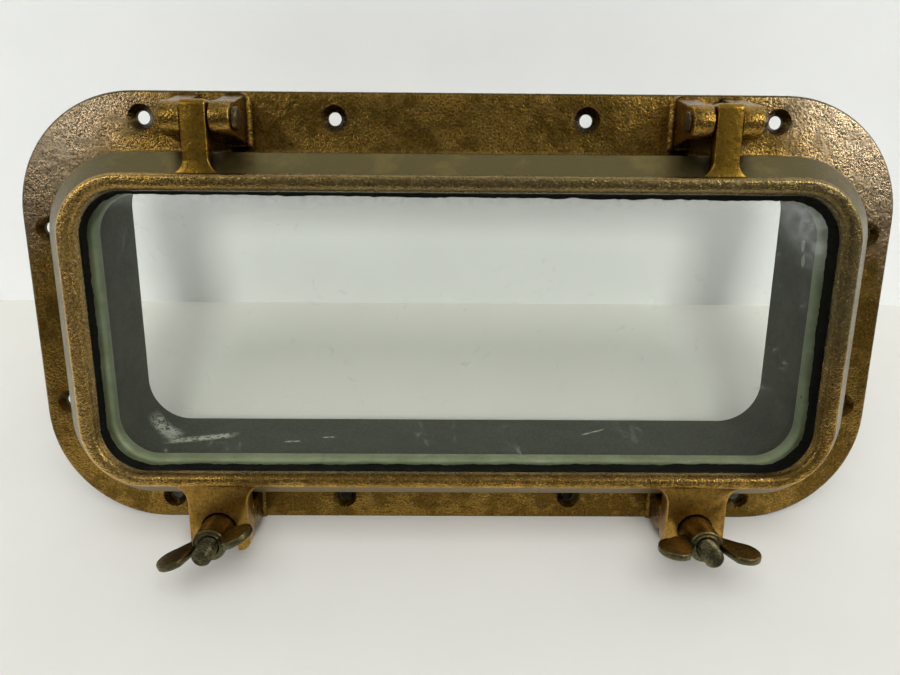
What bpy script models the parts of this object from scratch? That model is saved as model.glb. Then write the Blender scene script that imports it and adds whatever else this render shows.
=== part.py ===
"""Opening porthole in cast bronze: a flanged frame with a trunk, and a glazed door hinged at its top.

Units are metres. +X is right, +Z is up, and the room is toward -Y. The origin is the middle of the flange
on its mounting face, so the mounting face is the plane y = 0 and the trunk runs back along +Y.
Depths are given as y values. Places across the door's section are insets from the door's outer outline.
"""

from math import cos, pi, radians, sin

import bmesh
import bpy
from mathutils import Matrix, Vector

# Flange and trunk
FLANGE_WIDTH = 0.384
FLANGE_HEIGHT = 0.1966
FLANGE_RADIUS = 0.053
FLANGE_THICKNESS = 0.004
FLANGE_EDGE_ROUND = 0.0018
TRUNK_WIDTH = 0.337
TRUNK_HEIGHT = 0.137
TRUNK_RADIUS = 0.022
TRUNK_WALL = 0.004
TRUNK_REAR = 0.056
LEDGE_DEPTH = -0.001

# Screw holes of the flange
HOLE_INSET = 0.011
HOLE_X = (0.054, 0.136)
HOLE_Z = 0.040
HOLE_RADIUS = 0.0028
COUNTERSINK_RADIUS = 0.0053

# Door outline and the levels of its section, front to back
DOOR_WIDTH = 0.342
DOOR_HEIGHT = 0.1496
DOOR_RADIUS = 0.035
DOOR_CENTRE_Z = -0.002
RING_FRONT = -0.0342
SLOPE_FRONT = -0.0312
SLOPE_BACK = -0.0215
LIP_BACK = -0.025
GLASS_FRONT = -0.024
GLASS_BACK = -0.0161
DOOR_BACK = -0.0095
COLLAR_FRONT = -0.0085
GROOVE_FLOOR = -0.005

# Insets across the door's section
RING_INSET = 0.009
OPENING_INSET = 0.0155
GLASS_POCKET_INSET = 0.0117
RIM_INSET = 0.0062
GROOVE_INSETS = (0.002, 0.0065)
COLLAR_INSET = 0.0004
MOUTH_INSET = 0.011
BEAD_INSET = 0.0178
BEAD_HEIGHT = 0.0026
RING_SCREW_INSET = 0.0091
INNER_CROWN_ROUND = 0.0016

# Insets from the door's bottom edge, as a share of those from its other edges
FOOT_SHARE = 0.9

# Hinges
HINGE_X = 0.1047
PIN_Y = -0.0242
PIN_Z = 0.0855
PIN_RADIUS = 0.0031
KNUCKLE_RADIUS = 0.0069
STRAP_HALF_WIDTH = 0.0051
STRAP_FRONT = -0.0315
STRAP_BACK = -0.0255
STRAP_FLARE = 0.0040
STRAP_CORNER = 0.0018
STRAP_OVERLAP = 0.003
FLARE_LENGTH = 0.009
KNUCKLE_OUTER = 0.0140
EAR_ROOT_TOP = 0.0973
EAR_ROOT_BOTTOM = 0.0753

# Riveted pins: sizes of the head and the peened end, as ratios to the pin and as lengths
HEAD_RATIO = 1.5
HEAD_HEIGHT = 0.0021
HEAD_ROUND = 0.0011
PEENED_RATIO = 1.3
PEENED_HEIGHT = 0.0007
PEENED_ROUND = 0.0005

# Clamps: lugs on the frame, swing bolts, slotted ears on the door
CLAMP_X = 0.1062
PIVOT_Y = -0.014
PIVOT_Z = -0.090
LUG_RADIUS = 0.0075
LUG_INNER = 0.0053
LUG_OUTER = 0.0125
LUG_ROOT_TOP = -0.0793
LUG_ROOT_BOTTOM = -0.0979
BOLT_PIN_RADIUS = 0.0025
BOLT_PIN_CHAMFER = 0.0004
STUD_RADIUS = 0.0042
STUD_TIP = -0.056
STUD_CHAMFER = 0.0012
STUD_ROOT = 0.004
EYE_RADIUS = 0.0072
EYE_HALF_WIDTH = 0.0049
EYE_CHAMFER = 0.0006
EAR_HALF_WIDTH = 0.0132
EAR_FRONT = -0.0315
EAR_BACK = -0.0225
EAR_BOTTOM = -0.1007
EAR_FILLET = 0.007
EAR_CORNER = 0.0045
EAR_OVERLAP = 0.002
SLOT_HALF_WIDTH = 0.0053
SLOT_TIP_ROUND = 0.002
SEAT_DEPTH = -0.029
SEAT_RADIUS = 0.0078
SEAT_SWEEP = radians(52)

# Wing nuts
HUB_RADIUS = 0.00735
HUB_FRONT = -0.046
HUB_CHAMFER = 0.0008
NECK_LENGTHS = (0.0005, 0.0085)
NECK_OVERLAP = 0.0012
WING_CENTRE = 0.0143
WING_CENTRE_Y = -0.0490
WING_RADIUS = 0.0072
WING_THICKNESS = 0.0036
WING_ANGLES = {"left": radians(-18), "right": radians(4)}

# Small screws of the retaining ring
RING_SCREW_X = (0.040, 0.120)
RING_SCREW_RADIUS = 0.0012
RING_SCREW_HEAD = 0.0022
RING_SCREW_LENGTH = 0.010
RING_SCREW_POINT = 0.0008
RING_SCREW_SINK = 0.0001
RING_SCREW_TURN = 0.7
DRIVER_SLOT = (0.0007, 0.0008)
TAP_DEPTH = 0.006

# Clearance between pieces, how far cutters and joined shapes run past each other, and mesh fineness
GAP = 0.0003
SINK_MARGIN = 0.0005
CUTTER_MARGIN = 0.004
SHRINK = 0.0001
AXIS_MARK = 0.01
ARC_STEPS = 10
TURN_STEPS = 20
FINE_STEPS = 12
ROUND_STEPS = 3
MERGE = 0.00001
SIDES = {"left": -1, "right": 1}


# ---------------------------------------------------------------- scene and objects

def clear_scene():
    for item in list(bpy.data.objects):
        bpy.data.objects.remove(item)


def new_collection(name):
    collection = bpy.data.collections.new(name)
    bpy.context.scene.collection.children.link(collection)
    return collection


def add_object(name, data, collection, matrix=Matrix.Identity(4)):
    item = bpy.data.objects.new(name, data)
    collection.objects.link(item)
    item.matrix_world = matrix
    return item


def as_tool(item):
    """Marks an object that only cuts or joins another."""
    item.hide_render = True
    item.display_type = "WIRE"
    return item


def make_material(name, colour, roughness, metallic, alpha=1.0):
    material = bpy.data.materials.new(name)
    material.use_nodes = True
    shader = material.node_tree.nodes["Principled BSDF"]
    shader.inputs["Base Color"].default_value = (*colour, 1.0)
    shader.inputs["Roughness"].default_value = roughness
    shader.inputs["Metallic"].default_value = metallic
    shader.inputs["Alpha"].default_value = alpha
    return material


def finish(item, material):
    """Gives a part its material and smooth shading with sharp edges kept."""
    item.data.materials.clear()
    item.data.materials.append(material)
    item.data.shade_smooth()
    item.data.set_sharp_from_angle(angle=radians(35))


def boolean(target, tool, operation):
    modifier = target.modifiers.new(f"{operation.lower()} {tool.name}", "BOOLEAN")
    modifier.operation = operation
    modifier.solver = "EXACT"
    modifier.object = tool


# ---------------------------------------------------------------- shape helpers

def arc(centre, radius, start, end, steps):
    """Points on an arc in a plane, from one angle to another, both ends included."""
    return [
        (
            centre[0] + radius * cos(start + (end - start) * i / steps),
            centre[1] + radius * sin(start + (end - start) * i / steps),
        )
        for i in range(steps + 1)
    ]


def rounded_rectangle(half_width, half_height, radius, centre_z):
    points = []
    for quarter in range(4):
        side = 1 if quarter in (0, 3) else -1
        level = 1 if quarter in (0, 1) else -1
        centre = (side * (half_width - radius), centre_z + level * (half_height - radius))
        points += arc(centre, radius, quarter * pi / 2, (quarter + 1) * pi / 2, ARC_STEPS)
    return points


def flange_section(inset, y):
    outline = rounded_rectangle(
        FLANGE_WIDTH / 2 - inset, FLANGE_HEIGHT / 2 - inset, FLANGE_RADIUS - inset, 0)
    return outline, y


def trunk_section(outset, y):
    outline = rounded_rectangle(
        TRUNK_WIDTH / 2 + outset, TRUNK_HEIGHT / 2 + outset, TRUNK_RADIUS + outset, 0)
    return outline, y


def door_top(inset):
    return DOOR_CENTRE_Z + DOOR_HEIGHT / 2 - inset


def door_bottom(inset):
    return DOOR_CENTRE_Z - DOOR_HEIGHT / 2 + FOOT_SHARE * inset


def door_section(inset, y):
    top, bottom = door_top(inset), door_bottom(inset)
    outline = rounded_rectangle(
        DOOR_WIDTH / 2 - inset, (top - bottom) / 2, DOOR_RADIUS - inset, (top + bottom) / 2)
    return outline, y


def ring_mesh(name, sections):
    """A closed ring lofted through outlines with equal point counts, the last one joined to the first."""
    bm = bmesh.new()
    loops = [[bm.verts.new((x, y, z)) for x, z in outline] for outline, y in sections]
    for i, loop in enumerate(loops):
        before = loops[i - 1]
        for j in range(len(loop)):
            bm.faces.new((before[j - 1], before[j], loop[j], loop[j - 1]))
    bmesh.ops.recalc_face_normals(bm, faces=bm.faces)
    mesh = bpy.data.meshes.new(name)
    bm.to_mesh(mesh)
    bm.free()
    return mesh


def plate_mesh(name, points, thickness):
    """A flat outline in the local XY plane, filled and extruded evenly to both sides."""
    curve = bpy.data.curves.new(name, "CURVE")
    curve.dimensions = "2D"
    curve.fill_mode = "BOTH"
    curve.extrude = thickness / 2
    spline = curve.splines.new("POLY")
    spline.points.add(len(points) - 1)
    for point, (x, y) in zip(spline.points, points):
        point.co = (x, y, 0, 1)
    spline.use_cyclic_u = True
    guide = bpy.data.objects.new(name, curve)
    bpy.context.scene.collection.objects.link(guide)
    evaluated = guide.evaluated_get(bpy.context.evaluated_depsgraph_get())
    mesh = bpy.data.meshes.new_from_object(evaluated)
    bpy.data.objects.remove(guide)
    bm = bmesh.new()
    bm.from_mesh(mesh)
    bmesh.ops.remove_doubles(bm, verts=bm.verts, dist=MERGE)
    bmesh.ops.recalc_face_normals(bm, faces=bm.faces)
    bm.to_mesh(mesh)
    bm.free()
    return mesh


def side_placement(x):
    """Turns a plate drawn as (y, z) to face along X at the given x."""
    turn = Matrix(((0, 0, 1, 0), (1, 0, 0, 0), (0, 1, 0, 0), (0, 0, 0, 1)))
    return Matrix.Translation((x, 0, 0)) @ turn


def front_placement(y):
    """Turns a plate drawn as (x, z) to face the room at the given y."""
    return Matrix.Translation((0, y, 0)) @ Matrix.Rotation(pi / 2, 4, "X")


def turned_object(name, profile, collection, matrix, steps, closed=False):
    """A profile of (radius, height) points, top to bottom on its outer side, turned about local Z."""
    bm = bmesh.new()
    verts = [bm.verts.new((radius, 0, height)) for radius, height in profile]
    for first, second in zip(verts, verts[1:]):
        bm.edges.new((first, second))
    if closed:
        bm.edges.new((verts[-1], verts[0]))
    mesh = bpy.data.meshes.new(name)
    bm.to_mesh(mesh)
    bm.free()
    item = add_object(name, mesh, collection, matrix)
    screw = item.modifiers.new("turned", "SCREW")
    screw.steps = steps
    screw.render_steps = steps
    screw.use_merge_vertices = True
    screw.merge_threshold = MERGE
    return item


def drill_tool(name, centres, radius_front, radius_back, y_front, y_back, collection):
    """Round cutters along Y at the given (x, z) centres, as one cutter."""
    bm = bmesh.new()
    for x, z in centres:
        centre = (x, (y_front + y_back) / 2, z)
        middle = Matrix.Translation(centre) @ Matrix.Rotation(pi / 2, 4, "X")
        bmesh.ops.create_cone(
            bm, cap_ends=True, segments=TURN_STEPS, radius1=radius_back, radius2=radius_front,
            depth=abs(y_back - y_front), matrix=middle)
    mesh = bpy.data.meshes.new(name)
    bm.to_mesh(mesh)
    bm.free()
    return as_tool(add_object(name, mesh, collection))


def countersink_tool(name, centres, head, hole, face, outward, collection):
    """45 degree cones opening at y = face, each running past its hole's wall at the narrow end."""
    wide = face + outward * SINK_MARGIN
    narrow = face - outward * (head - hole + SINK_MARGIN)
    sides = [(wide, head + SINK_MARGIN), (narrow, hole - SINK_MARGIN)]
    (y_front, radius_front), (y_back, radius_back) = sorted(sides)
    return drill_tool(name, centres, radius_front, radius_back, y_front, y_back, collection)


def cross_bore_tool(name, x, y, z, radius, half_length, collection):
    """A cylinder along X that bores a pin hole."""
    bm = bmesh.new()
    place = Matrix.Translation((x, y, z)) @ Matrix.Rotation(pi / 2, 4, "Y")
    bmesh.ops.create_cone(
        bm, cap_ends=True, segments=TURN_STEPS, radius1=radius, radius2=radius,
        depth=2 * half_length, matrix=place)
    mesh = bpy.data.meshes.new(name)
    bm.to_mesh(mesh)
    bm.free()
    return as_tool(add_object(name, mesh, collection))


# ---------------------------------------------------------------- main frame

def nose_outline(centre, radius, root_y, root_top, root_bottom):
    """Side view of a cast lug as (y, z): a round nose toward the room on a tapered root."""
    nose = arc(centre, radius, radians(80), radians(280), FINE_STEPS)
    return [(root_y, root_top)] + nose + [(root_y, root_bottom)]


def add_lug_pair(frame, name, x, outline, inner, outer, tools):
    """Joins two cast lugs to the frame, one on each side of a slot centred at x."""
    for side in (-1, 1):
        mesh = plate_mesh(f"{name}_{side}", outline, outer - inner)
        place = side_placement(x + side * (inner + outer) / 2)
        lug = as_tool(add_object(f"{name}_{side}", mesh, tools, place))
        boolean(frame, lug, "UNION")


def flange_hole_centres():
    half_w = FLANGE_WIDTH / 2 - HOLE_INSET
    half_h = FLANGE_HEIGHT / 2 - HOLE_INSET
    rows = [(side * x, level * half_h) for x in HOLE_X for side in (-1, 1) for level in (-1, 1)]
    ends = [(side * half_w, level * HOLE_Z) for side in (-1, 1) for level in (-1, 1)]
    return rows + ends


def build_main_frame(parts, tools, material):
    front = -FLANGE_THICKNESS
    edge = FLANGE_EDGE_ROUND
    rim = arc((edge, front + edge), edge, pi, 3 * pi / 2, ROUND_STEPS)
    sections = [flange_section(0, 0)] + [flange_section(inset, y) for inset, y in rim]
    sections += [
        door_section(COLLAR_INSET, front),
        door_section(COLLAR_INSET, COLLAR_FRONT),
        door_section(GROOVE_INSETS[0], COLLAR_FRONT),
        door_section(GROOVE_INSETS[0], GROOVE_FLOOR),
        door_section(GROOVE_INSETS[1], GROOVE_FLOOR),
        door_section(GROOVE_INSETS[1], COLLAR_FRONT),
        door_section(MOUTH_INSET, COLLAR_FRONT),
        door_section(MOUTH_INSET, LEDGE_DEPTH),
        trunk_section(0, LEDGE_DEPTH),
        trunk_section(0, TRUNK_REAR),
        trunk_section(TRUNK_WALL, TRUNK_REAR),
        trunk_section(TRUNK_WALL, 0),
    ]
    frame = add_object("main_frame", ring_mesh("main_frame", sections), parts)
    root = -FLANGE_THICKNESS / 2
    ear = nose_outline((PIN_Y, PIN_Z), KNUCKLE_RADIUS, root, EAR_ROOT_TOP, EAR_ROOT_BOTTOM)
    lug = nose_outline((PIVOT_Y, PIVOT_Z), LUG_RADIUS, root, LUG_ROOT_TOP, LUG_ROOT_BOTTOM)
    for name, side in SIDES.items():
        inner = STRAP_HALF_WIDTH + GAP
        add_lug_pair(frame, f"hinge_ear_{name}", side * HINGE_X, ear, inner, KNUCKLE_OUTER, tools)
        add_lug_pair(frame, f"clamp_lug_{name}", side * CLAMP_X, lug, LUG_INNER, LUG_OUTER, tools)
    for name, side in SIDES.items():
        reach = KNUCKLE_OUTER + CUTTER_MARGIN
        hinge_bore = cross_bore_tool(
            f"hinge_bore_{name}", side * HINGE_X, PIN_Y, PIN_Z, PIN_RADIUS + GAP, reach, tools)
        bolt_bore = cross_bore_tool(
            f"bolt_bore_{name}", side * CLAMP_X, PIVOT_Y, PIVOT_Z, BOLT_PIN_RADIUS + GAP, reach, tools)
        boolean(frame, hinge_bore, "DIFFERENCE")
        boolean(frame, bolt_bore, "DIFFERENCE")
    centres = flange_hole_centres()
    through = drill_tool(
        "screw_holes", centres, HOLE_RADIUS, HOLE_RADIUS, front - SINK_MARGIN, SINK_MARGIN, tools)
    sinks = countersink_tool(
        "countersinks", centres, COUNTERSINK_RADIUS, HOLE_RADIUS, front, -1, tools)
    boolean(frame, through, "DIFFERENCE")
    boolean(frame, sinks, "DIFFERENCE")
    finish(frame, material)
    return frame


def build_main_gasket(parts, material):
    outer = GROOVE_INSETS[0] + GAP
    inner = GROOVE_INSETS[1] - GAP
    front = DOOR_BACK + GAP
    back = GROOVE_FLOOR - GAP
    sections = [
        door_section(outer, back), door_section(outer, front),
        door_section(inner, front), door_section(inner, back),
    ]
    gasket = add_object("main_gasket", ring_mesh("main_gasket", sections), parts)
    finish(gasket, material)


# ---------------------------------------------------------------- door

def strap_outline():
    """Side view of a hinge strap as (y, z): a flat front, a squared eye top and a round eye back."""
    corner = STRAP_CORNER
    top = PIN_Z + KNUCKLE_RADIUS
    foot = door_top(RING_INSET) - STRAP_OVERLAP
    front_corner = arc((STRAP_FRONT + corner, top - corner), corner, pi, pi / 2, ROUND_STEPS)
    eye_back = arc((PIN_Y, PIN_Z), KNUCKLE_RADIUS, pi / 2, radians(-100), FINE_STEPS)
    eye_bottom = PIN_Z - KNUCKLE_RADIUS
    back = [(STRAP_BACK, eye_bottom), (STRAP_BACK, foot)]
    return [(STRAP_FRONT, foot)] + front_corner + eye_back + back


def flare_outline(x, half_width, flare, root_z, end_z, level):
    """Front view of the foot of a strap or ear as (x, z), spreading on both sides toward the ring.

    level is +1 for a piece above the ring and -1 for one below it.
    """
    reach = half_width + flare
    turn = root_z + level * flare
    right = arc((x + reach, turn), flare, -level * pi / 2, -level * pi, FINE_STEPS // 2)
    left = arc((x - reach, turn), flare, 0, -level * pi / 2, FINE_STEPS // 2)
    return right + [(x + half_width, end_z), (x - half_width, end_z)] + left


def clamp_ear_outline(x):
    """Front view of a slotted clamp ear as (x, z), its slot open at the bottom."""
    root = door_bottom(RING_INSET) - EAR_OVERLAP / 2
    reach = EAR_HALF_WIDTH + EAR_FILLET
    turn = root - EAR_FILLET
    low = EAR_BOTTOM + EAR_CORNER
    tip = SLOT_TIP_ROUND
    outline = [(x - reach, root + EAR_OVERLAP)]
    outline += arc((x - reach, turn), EAR_FILLET, pi / 2, 0, FINE_STEPS // 2)
    outline += arc((x - EAR_HALF_WIDTH + EAR_CORNER, low), EAR_CORNER, pi, 3 * pi / 2, ROUND_STEPS)
    outline += arc((x - SLOT_HALF_WIDTH - tip, EAR_BOTTOM + tip), tip, -pi / 2, 0, ROUND_STEPS)
    outline += arc((x, PIVOT_Z + GAP), SLOT_HALF_WIDTH, pi, 0, FINE_STEPS)
    outline += arc((x + SLOT_HALF_WIDTH + tip, EAR_BOTTOM + tip), tip, pi, 3 * pi / 2, ROUND_STEPS)
    outline += arc((x + EAR_HALF_WIDTH - EAR_CORNER, low), EAR_CORNER, -pi / 2, 0, ROUND_STEPS)
    outline += arc((x + reach, turn), EAR_FILLET, pi, pi / 2, FINE_STEPS // 2)
    outline += [(x + reach, root + EAR_OVERLAP)]
    return outline


def seat_outline():
    """Side view of the lower part of a nut's seat as (y, z), curved about the bolt's pivot."""
    radius = PIVOT_Y - SEAT_DEPTH
    sweep = arc((PIVOT_Y, PIVOT_Z), radius, pi, pi + SEAT_SWEEP, FINE_STEPS)
    front = EAR_FRONT - CUTTER_MARGIN
    return sweep + [(front, sweep[-1][1]), (front, PIVOT_Z)]


def add_strap(door, name, x, tools):
    side = plate_mesh(f"strap_{name}", strap_outline(), 2 * STRAP_HALF_WIDTH)
    strap = as_tool(add_object(f"strap_{name}", side, tools, side_placement(x)))
    root = door_top(RING_INSET) + SINK_MARGIN
    outline = flare_outline(x, STRAP_HALF_WIDTH - SHRINK, STRAP_FLARE, root, root + FLARE_LENGTH, 1)
    foot_mesh = plate_mesh(f"strap_foot_{name}", outline, STRAP_BACK - STRAP_FRONT - 2 * SHRINK)
    middle = (STRAP_BACK + STRAP_FRONT) / 2
    foot = as_tool(add_object(f"strap_foot_{name}", foot_mesh, tools, front_placement(middle)))
    reach = STRAP_HALF_WIDTH + CUTTER_MARGIN
    bore = cross_bore_tool(f"strap_bore_{name}", x, PIN_Y, PIN_Z, PIN_RADIUS + GAP, reach, tools)
    boolean(door, strap, "UNION")
    boolean(door, foot, "UNION")
    boolean(door, bore, "DIFFERENCE")


def add_clamp_ear(door, name, x, tools):
    mesh = plate_mesh(f"clamp_ear_{name}", clamp_ear_outline(x), EAR_BACK - EAR_FRONT)
    middle = (EAR_FRONT + EAR_BACK) / 2
    ear = as_tool(add_object(f"clamp_ear_{name}", mesh, tools, front_placement(middle)))
    seat = drill_tool(
        f"nut_seat_{name}", [(x, PIVOT_Z)], SEAT_RADIUS, SEAT_RADIUS,
        EAR_FRONT - CUTTER_MARGIN, SEAT_DEPTH, tools)
    sweep_mesh = plate_mesh(f"seat_sweep_{name}", seat_outline(), 2 * SEAT_RADIUS)
    sweep = as_tool(add_object(f"seat_sweep_{name}", sweep_mesh, tools, side_placement(x)))
    boolean(door, ear, "UNION")
    boolean(door, seat, "DIFFERENCE")
    boolean(door, sweep, "DIFFERENCE")


def ring_screw_centres():
    half_w = DOOR_WIDTH / 2 - RING_SCREW_INSET
    rows = [
        (side * x, z)
        for z in (door_top(RING_SCREW_INSET), door_bottom(RING_SCREW_INSET))
        for x in RING_SCREW_X for side in (-1, 1)
    ]
    return rows + [(-half_w, DOOR_CENTRE_Z), (half_w, DOOR_CENTRE_Z)]


def build_door_frame(parts, tools, material, hinge):
    outer = SLOPE_FRONT - RING_FRONT
    inner = INNER_CROWN_ROUND
    profile = [(0, DOOR_BACK), (0, SLOPE_BACK)]
    profile += arc((RING_INSET + outer, RING_FRONT + outer), outer, pi, 3 * pi / 2, ROUND_STEPS)
    profile += arc((OPENING_INSET - inner, RING_FRONT + inner), inner, 3 * pi / 2, 2 * pi, ROUND_STEPS)
    profile += [
        (OPENING_INSET, LIP_BACK), (GLASS_POCKET_INSET, LIP_BACK), (GLASS_POCKET_INSET, GLASS_BACK),
        (RIM_INSET, GLASS_BACK), (RIM_INSET, DOOR_BACK),
    ]
    sections = [door_section(inset, y) for inset, y in profile]
    door = add_object("door_frame", ring_mesh("door_frame", sections), parts)
    for name, side in SIDES.items():
        add_strap(door, name, side * HINGE_X, tools)
        add_clamp_ear(door, name, side * CLAMP_X, tools)
    taps = drill_tool(
        "ring_screw_taps", ring_screw_centres(), RING_SCREW_RADIUS + GAP, RING_SCREW_RADIUS + GAP,
        GLASS_BACK - TAP_DEPTH, GLASS_BACK + CUTTER_MARGIN, tools)
    boolean(door, taps, "DIFFERENCE")
    finish(door, material)
    parent_keeping_place(door, hinge)


def build_glass(parts, material, hinge):
    outline, _ = door_section(GLASS_POCKET_INSET + GAP, 0)
    mesh = plate_mesh("glass_pane", outline, GLASS_BACK - GLASS_FRONT)
    pane = add_object("glass_pane", mesh, parts, front_placement((GLASS_FRONT + GLASS_BACK) / 2))
    finish(pane, material)
    parent_keeping_place(pane, hinge)


def build_glass_sealant(parts, material, hinge):
    """Bedding between the lip and the glass, with a visible fillet inside the lip."""
    back = GLASS_FRONT - GAP
    front = LIP_BACK + GAP
    inner = OPENING_INSET + GAP
    sections = [
        door_section(GLASS_POCKET_INSET + 2 * GAP, back),
        door_section(GLASS_POCKET_INSET + 2 * GAP, front),
        door_section(inner, front),
        door_section(inner, back - BEAD_HEIGHT),
        door_section(inner + 0.0008, back - BEAD_HEIGHT * 0.45),
        door_section(BEAD_INSET, back),
    ]
    bead = add_object("glass_sealant", ring_mesh("glass_sealant", sections), parts)
    finish(bead, material)
    parent_keeping_place(bead, hinge)


def build_retaining_ring(parts, tools, material, hinge):
    outer = RIM_INSET + GAP
    inner = OPENING_INSET - GAP
    front = GLASS_BACK + GAP
    back = DOOR_BACK - GAP
    sections = [
        door_section(outer, back), door_section(outer, front),
        door_section(inner, front), door_section(inner, back),
    ]
    ring = add_object("glass_retaining_ring", ring_mesh("glass_retaining_ring", sections), parts)
    centres = ring_screw_centres()
    shank = RING_SCREW_RADIUS + GAP
    head = RING_SCREW_HEAD + 2 * GAP
    holes = drill_tool(
        "ring_screw_holes", centres, shank, shank, front - SINK_MARGIN, back + SINK_MARGIN, tools)
    sinks = countersink_tool("ring_screw_sinks", centres, head, shank, back, 1, tools)
    boolean(ring, holes, "DIFFERENCE")
    boolean(ring, sinks, "DIFFERENCE")
    finish(ring, material)
    parent_keeping_place(ring, hinge)


def build_ring_screws(parts, tools, material, hinge):
    """Countersunk slotted screws, heads toward the rear."""
    back = DOOR_BACK - GAP - RING_SCREW_SINK
    head = RING_SCREW_HEAD
    shank = RING_SCREW_RADIUS
    profile = [
        (0, 0), (head, 0), (shank, shank - head),
        (shank, RING_SCREW_POINT - RING_SCREW_LENGTH), (0, -RING_SCREW_LENGTH),
    ]
    slot_mesh = bpy.data.meshes.new("driver_slot")
    bm = bmesh.new()
    width, depth = DRIVER_SLOT
    size = Matrix.Diagonal((width, 3 * head, 2 * depth, 1))
    bmesh.ops.create_cube(bm, size=1, matrix=size)
    bm.to_mesh(slot_mesh)
    bm.free()
    for number, (x, z) in enumerate(ring_screw_centres(), 1):
        place = Matrix.Translation((x, back, z)) @ Matrix.Rotation(-pi / 2, 4, "X")
        place = place @ Matrix.Rotation(RING_SCREW_TURN * number, 4, "Z")
        screw = turned_object(f"ring_screw_{number:02d}", profile, parts, place, FINE_STEPS)
        slot = as_tool(add_object(f"driver_slot_{number:02d}", slot_mesh, tools, place))
        boolean(screw, slot, "DIFFERENCE")
        finish(screw, material)
        parent_keeping_place(screw, hinge)


# ---------------------------------------------------------------- pins, bolts and nuts

def head_profile(radius, base, height, rounding):
    """Half section of a flat head with a rounded rim, from its middle to its foot."""
    rim = arc((radius - rounding, base + height - rounding), rounding, pi / 2, 0, ROUND_STEPS)
    return [(0, base + height)] + rim + [(radius, base)]


def build_pin(name, x, y, z, radius, half_length, parts, material):
    """A riveted hinge pin along X with a thick head on its +X side and a low peened end on the other."""
    grip = half_length + GAP
    head = head_profile(radius * HEAD_RATIO, grip, HEAD_HEIGHT, HEAD_ROUND)
    peened = head_profile(radius * PEENED_RATIO, grip, PEENED_HEIGHT, PEENED_ROUND)
    shank = [(radius, grip), (radius, -grip)]
    profile = head + shank + [(r, -height) for r, height in reversed(peened)]
    place = Matrix.Translation((x, y, z)) @ Matrix.Rotation(pi / 2, 4, "Y")
    pin = turned_object(name, profile, parts, place, TURN_STEPS)
    finish(pin, material)


def build_flush_pin(name, x, y, z, radius, half_length, parts, material):
    """A plain pin along X, its chamfered ends flush with the lugs."""
    edge = BOLT_PIN_CHAMFER
    ends = [(0, half_length), (radius - edge, half_length), (radius, half_length - edge)]
    profile = ends + [(r, -height) for r, height in reversed(ends)]
    place = Matrix.Translation((x, y, z)) @ Matrix.Rotation(pi / 2, 4, "Y")
    pin = turned_object(name, profile, parts, place, TURN_STEPS)
    finish(pin, material)


def build_swing_bolt(name, side, parts, tools, material, pivot):
    """An eye bolt: a round eye on the pivot pin and a stud toward the room, with a chamfered tip."""
    x = side * CLAMP_X
    length = PIVOT_Y - STUD_TIP
    half, flat = EYE_HALF_WIDTH, EYE_RADIUS - EYE_CHAMFER
    eye = [
        (0, half), (flat, half), (EYE_RADIUS, half - EYE_CHAMFER),
        (EYE_RADIUS, EYE_CHAMFER - half), (flat, -half), (0, -half),
    ]
    place = Matrix.Translation((x, PIVOT_Y, PIVOT_Z))
    bolt = turned_object(name, eye, parts, place @ Matrix.Rotation(pi / 2, 4, "Y"), TURN_STEPS)
    stud_profile = [
        (0, length), (STUD_RADIUS - STUD_CHAMFER, length), (STUD_RADIUS, length - STUD_CHAMFER),
        (STUD_RADIUS, STUD_ROOT), (0, STUD_ROOT),
    ]
    stud_place = place @ Matrix.Rotation(pi / 2, 4, "X")
    stud = as_tool(turned_object(f"stud_{name}", stud_profile, tools, stud_place, TURN_STEPS))
    reach = EYE_HALF_WIDTH + CUTTER_MARGIN
    bore = cross_bore_tool(f"eye_bore_{name}", x, PIVOT_Y, PIVOT_Z, BOLT_PIN_RADIUS + GAP, reach, tools)
    boolean(bolt, stud, "UNION")
    boolean(bolt, bore, "DIFFERENCE")
    finish(bolt, material)
    parent_keeping_place(bolt, pivot)


def wing_outline(side):
    """Plan view of one wing as (radius, y): a round paddle on a neck that grows out of the hub."""
    neck_front, neck_back = NECK_LENGTHS
    paddle = arc((WING_CENTRE, WING_CENTRE_Y), WING_RADIUS, radians(-115), radians(65), FINE_STEPS)
    root = HUB_RADIUS - NECK_OVERLAP
    outline = [(root, HUB_FRONT + neck_front)] + paddle + [(root, HUB_FRONT + neck_back)]
    return [(side * x, y) for x, y in outline]


def build_wing_nut(name, side, angle, parts, tools, material, stud_empty):
    """A hub with a clear bore and two wings that sweep toward the room."""
    base = SEAT_DEPTH - GAP
    bore = STUD_RADIUS + GAP
    edge = HUB_CHAMFER
    length = base - HUB_FRONT
    hub = [
        (bore, 0), (HUB_RADIUS - edge, 0), (HUB_RADIUS, -edge),
        (HUB_RADIUS, edge - length), (HUB_RADIUS - edge, -length), (bore, -length),
    ]
    place = Matrix.Translation((side * CLAMP_X, 0, PIVOT_Z)) @ Matrix.Rotation(angle, 4, "Y")
    front = place @ Matrix.Translation((0, HUB_FRONT, 0)) @ Matrix.Rotation(pi / 2, 4, "X")
    nut = turned_object(name, hub, parts, front, TURN_STEPS, closed=True)
    for wing_side in (-1, 1):
        wing_name = f"wing_{name}_{wing_side}"
        mesh = plate_mesh(wing_name, wing_outline(wing_side), WING_THICKNESS)
        wing = as_tool(add_object(wing_name, mesh, tools, place))
        boolean(nut, wing, "UNION")
    finish(nut, material)
    parent_keeping_place(nut, stud_empty)


def parent_keeping_place(item, parent):
    item.parent = parent
    item.matrix_parent_inverse = Matrix.Translation(-parent.location)


def add_axis_empty(name, place, collection):
    """An empty on a joint's axis."""
    empty = bpy.data.objects.new(name, None)
    empty.location = Vector(place)
    empty.empty_display_size = AXIS_MARK
    collection.objects.link(empty)
    return empty


# ---------------------------------------------------------------- assembly

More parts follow.
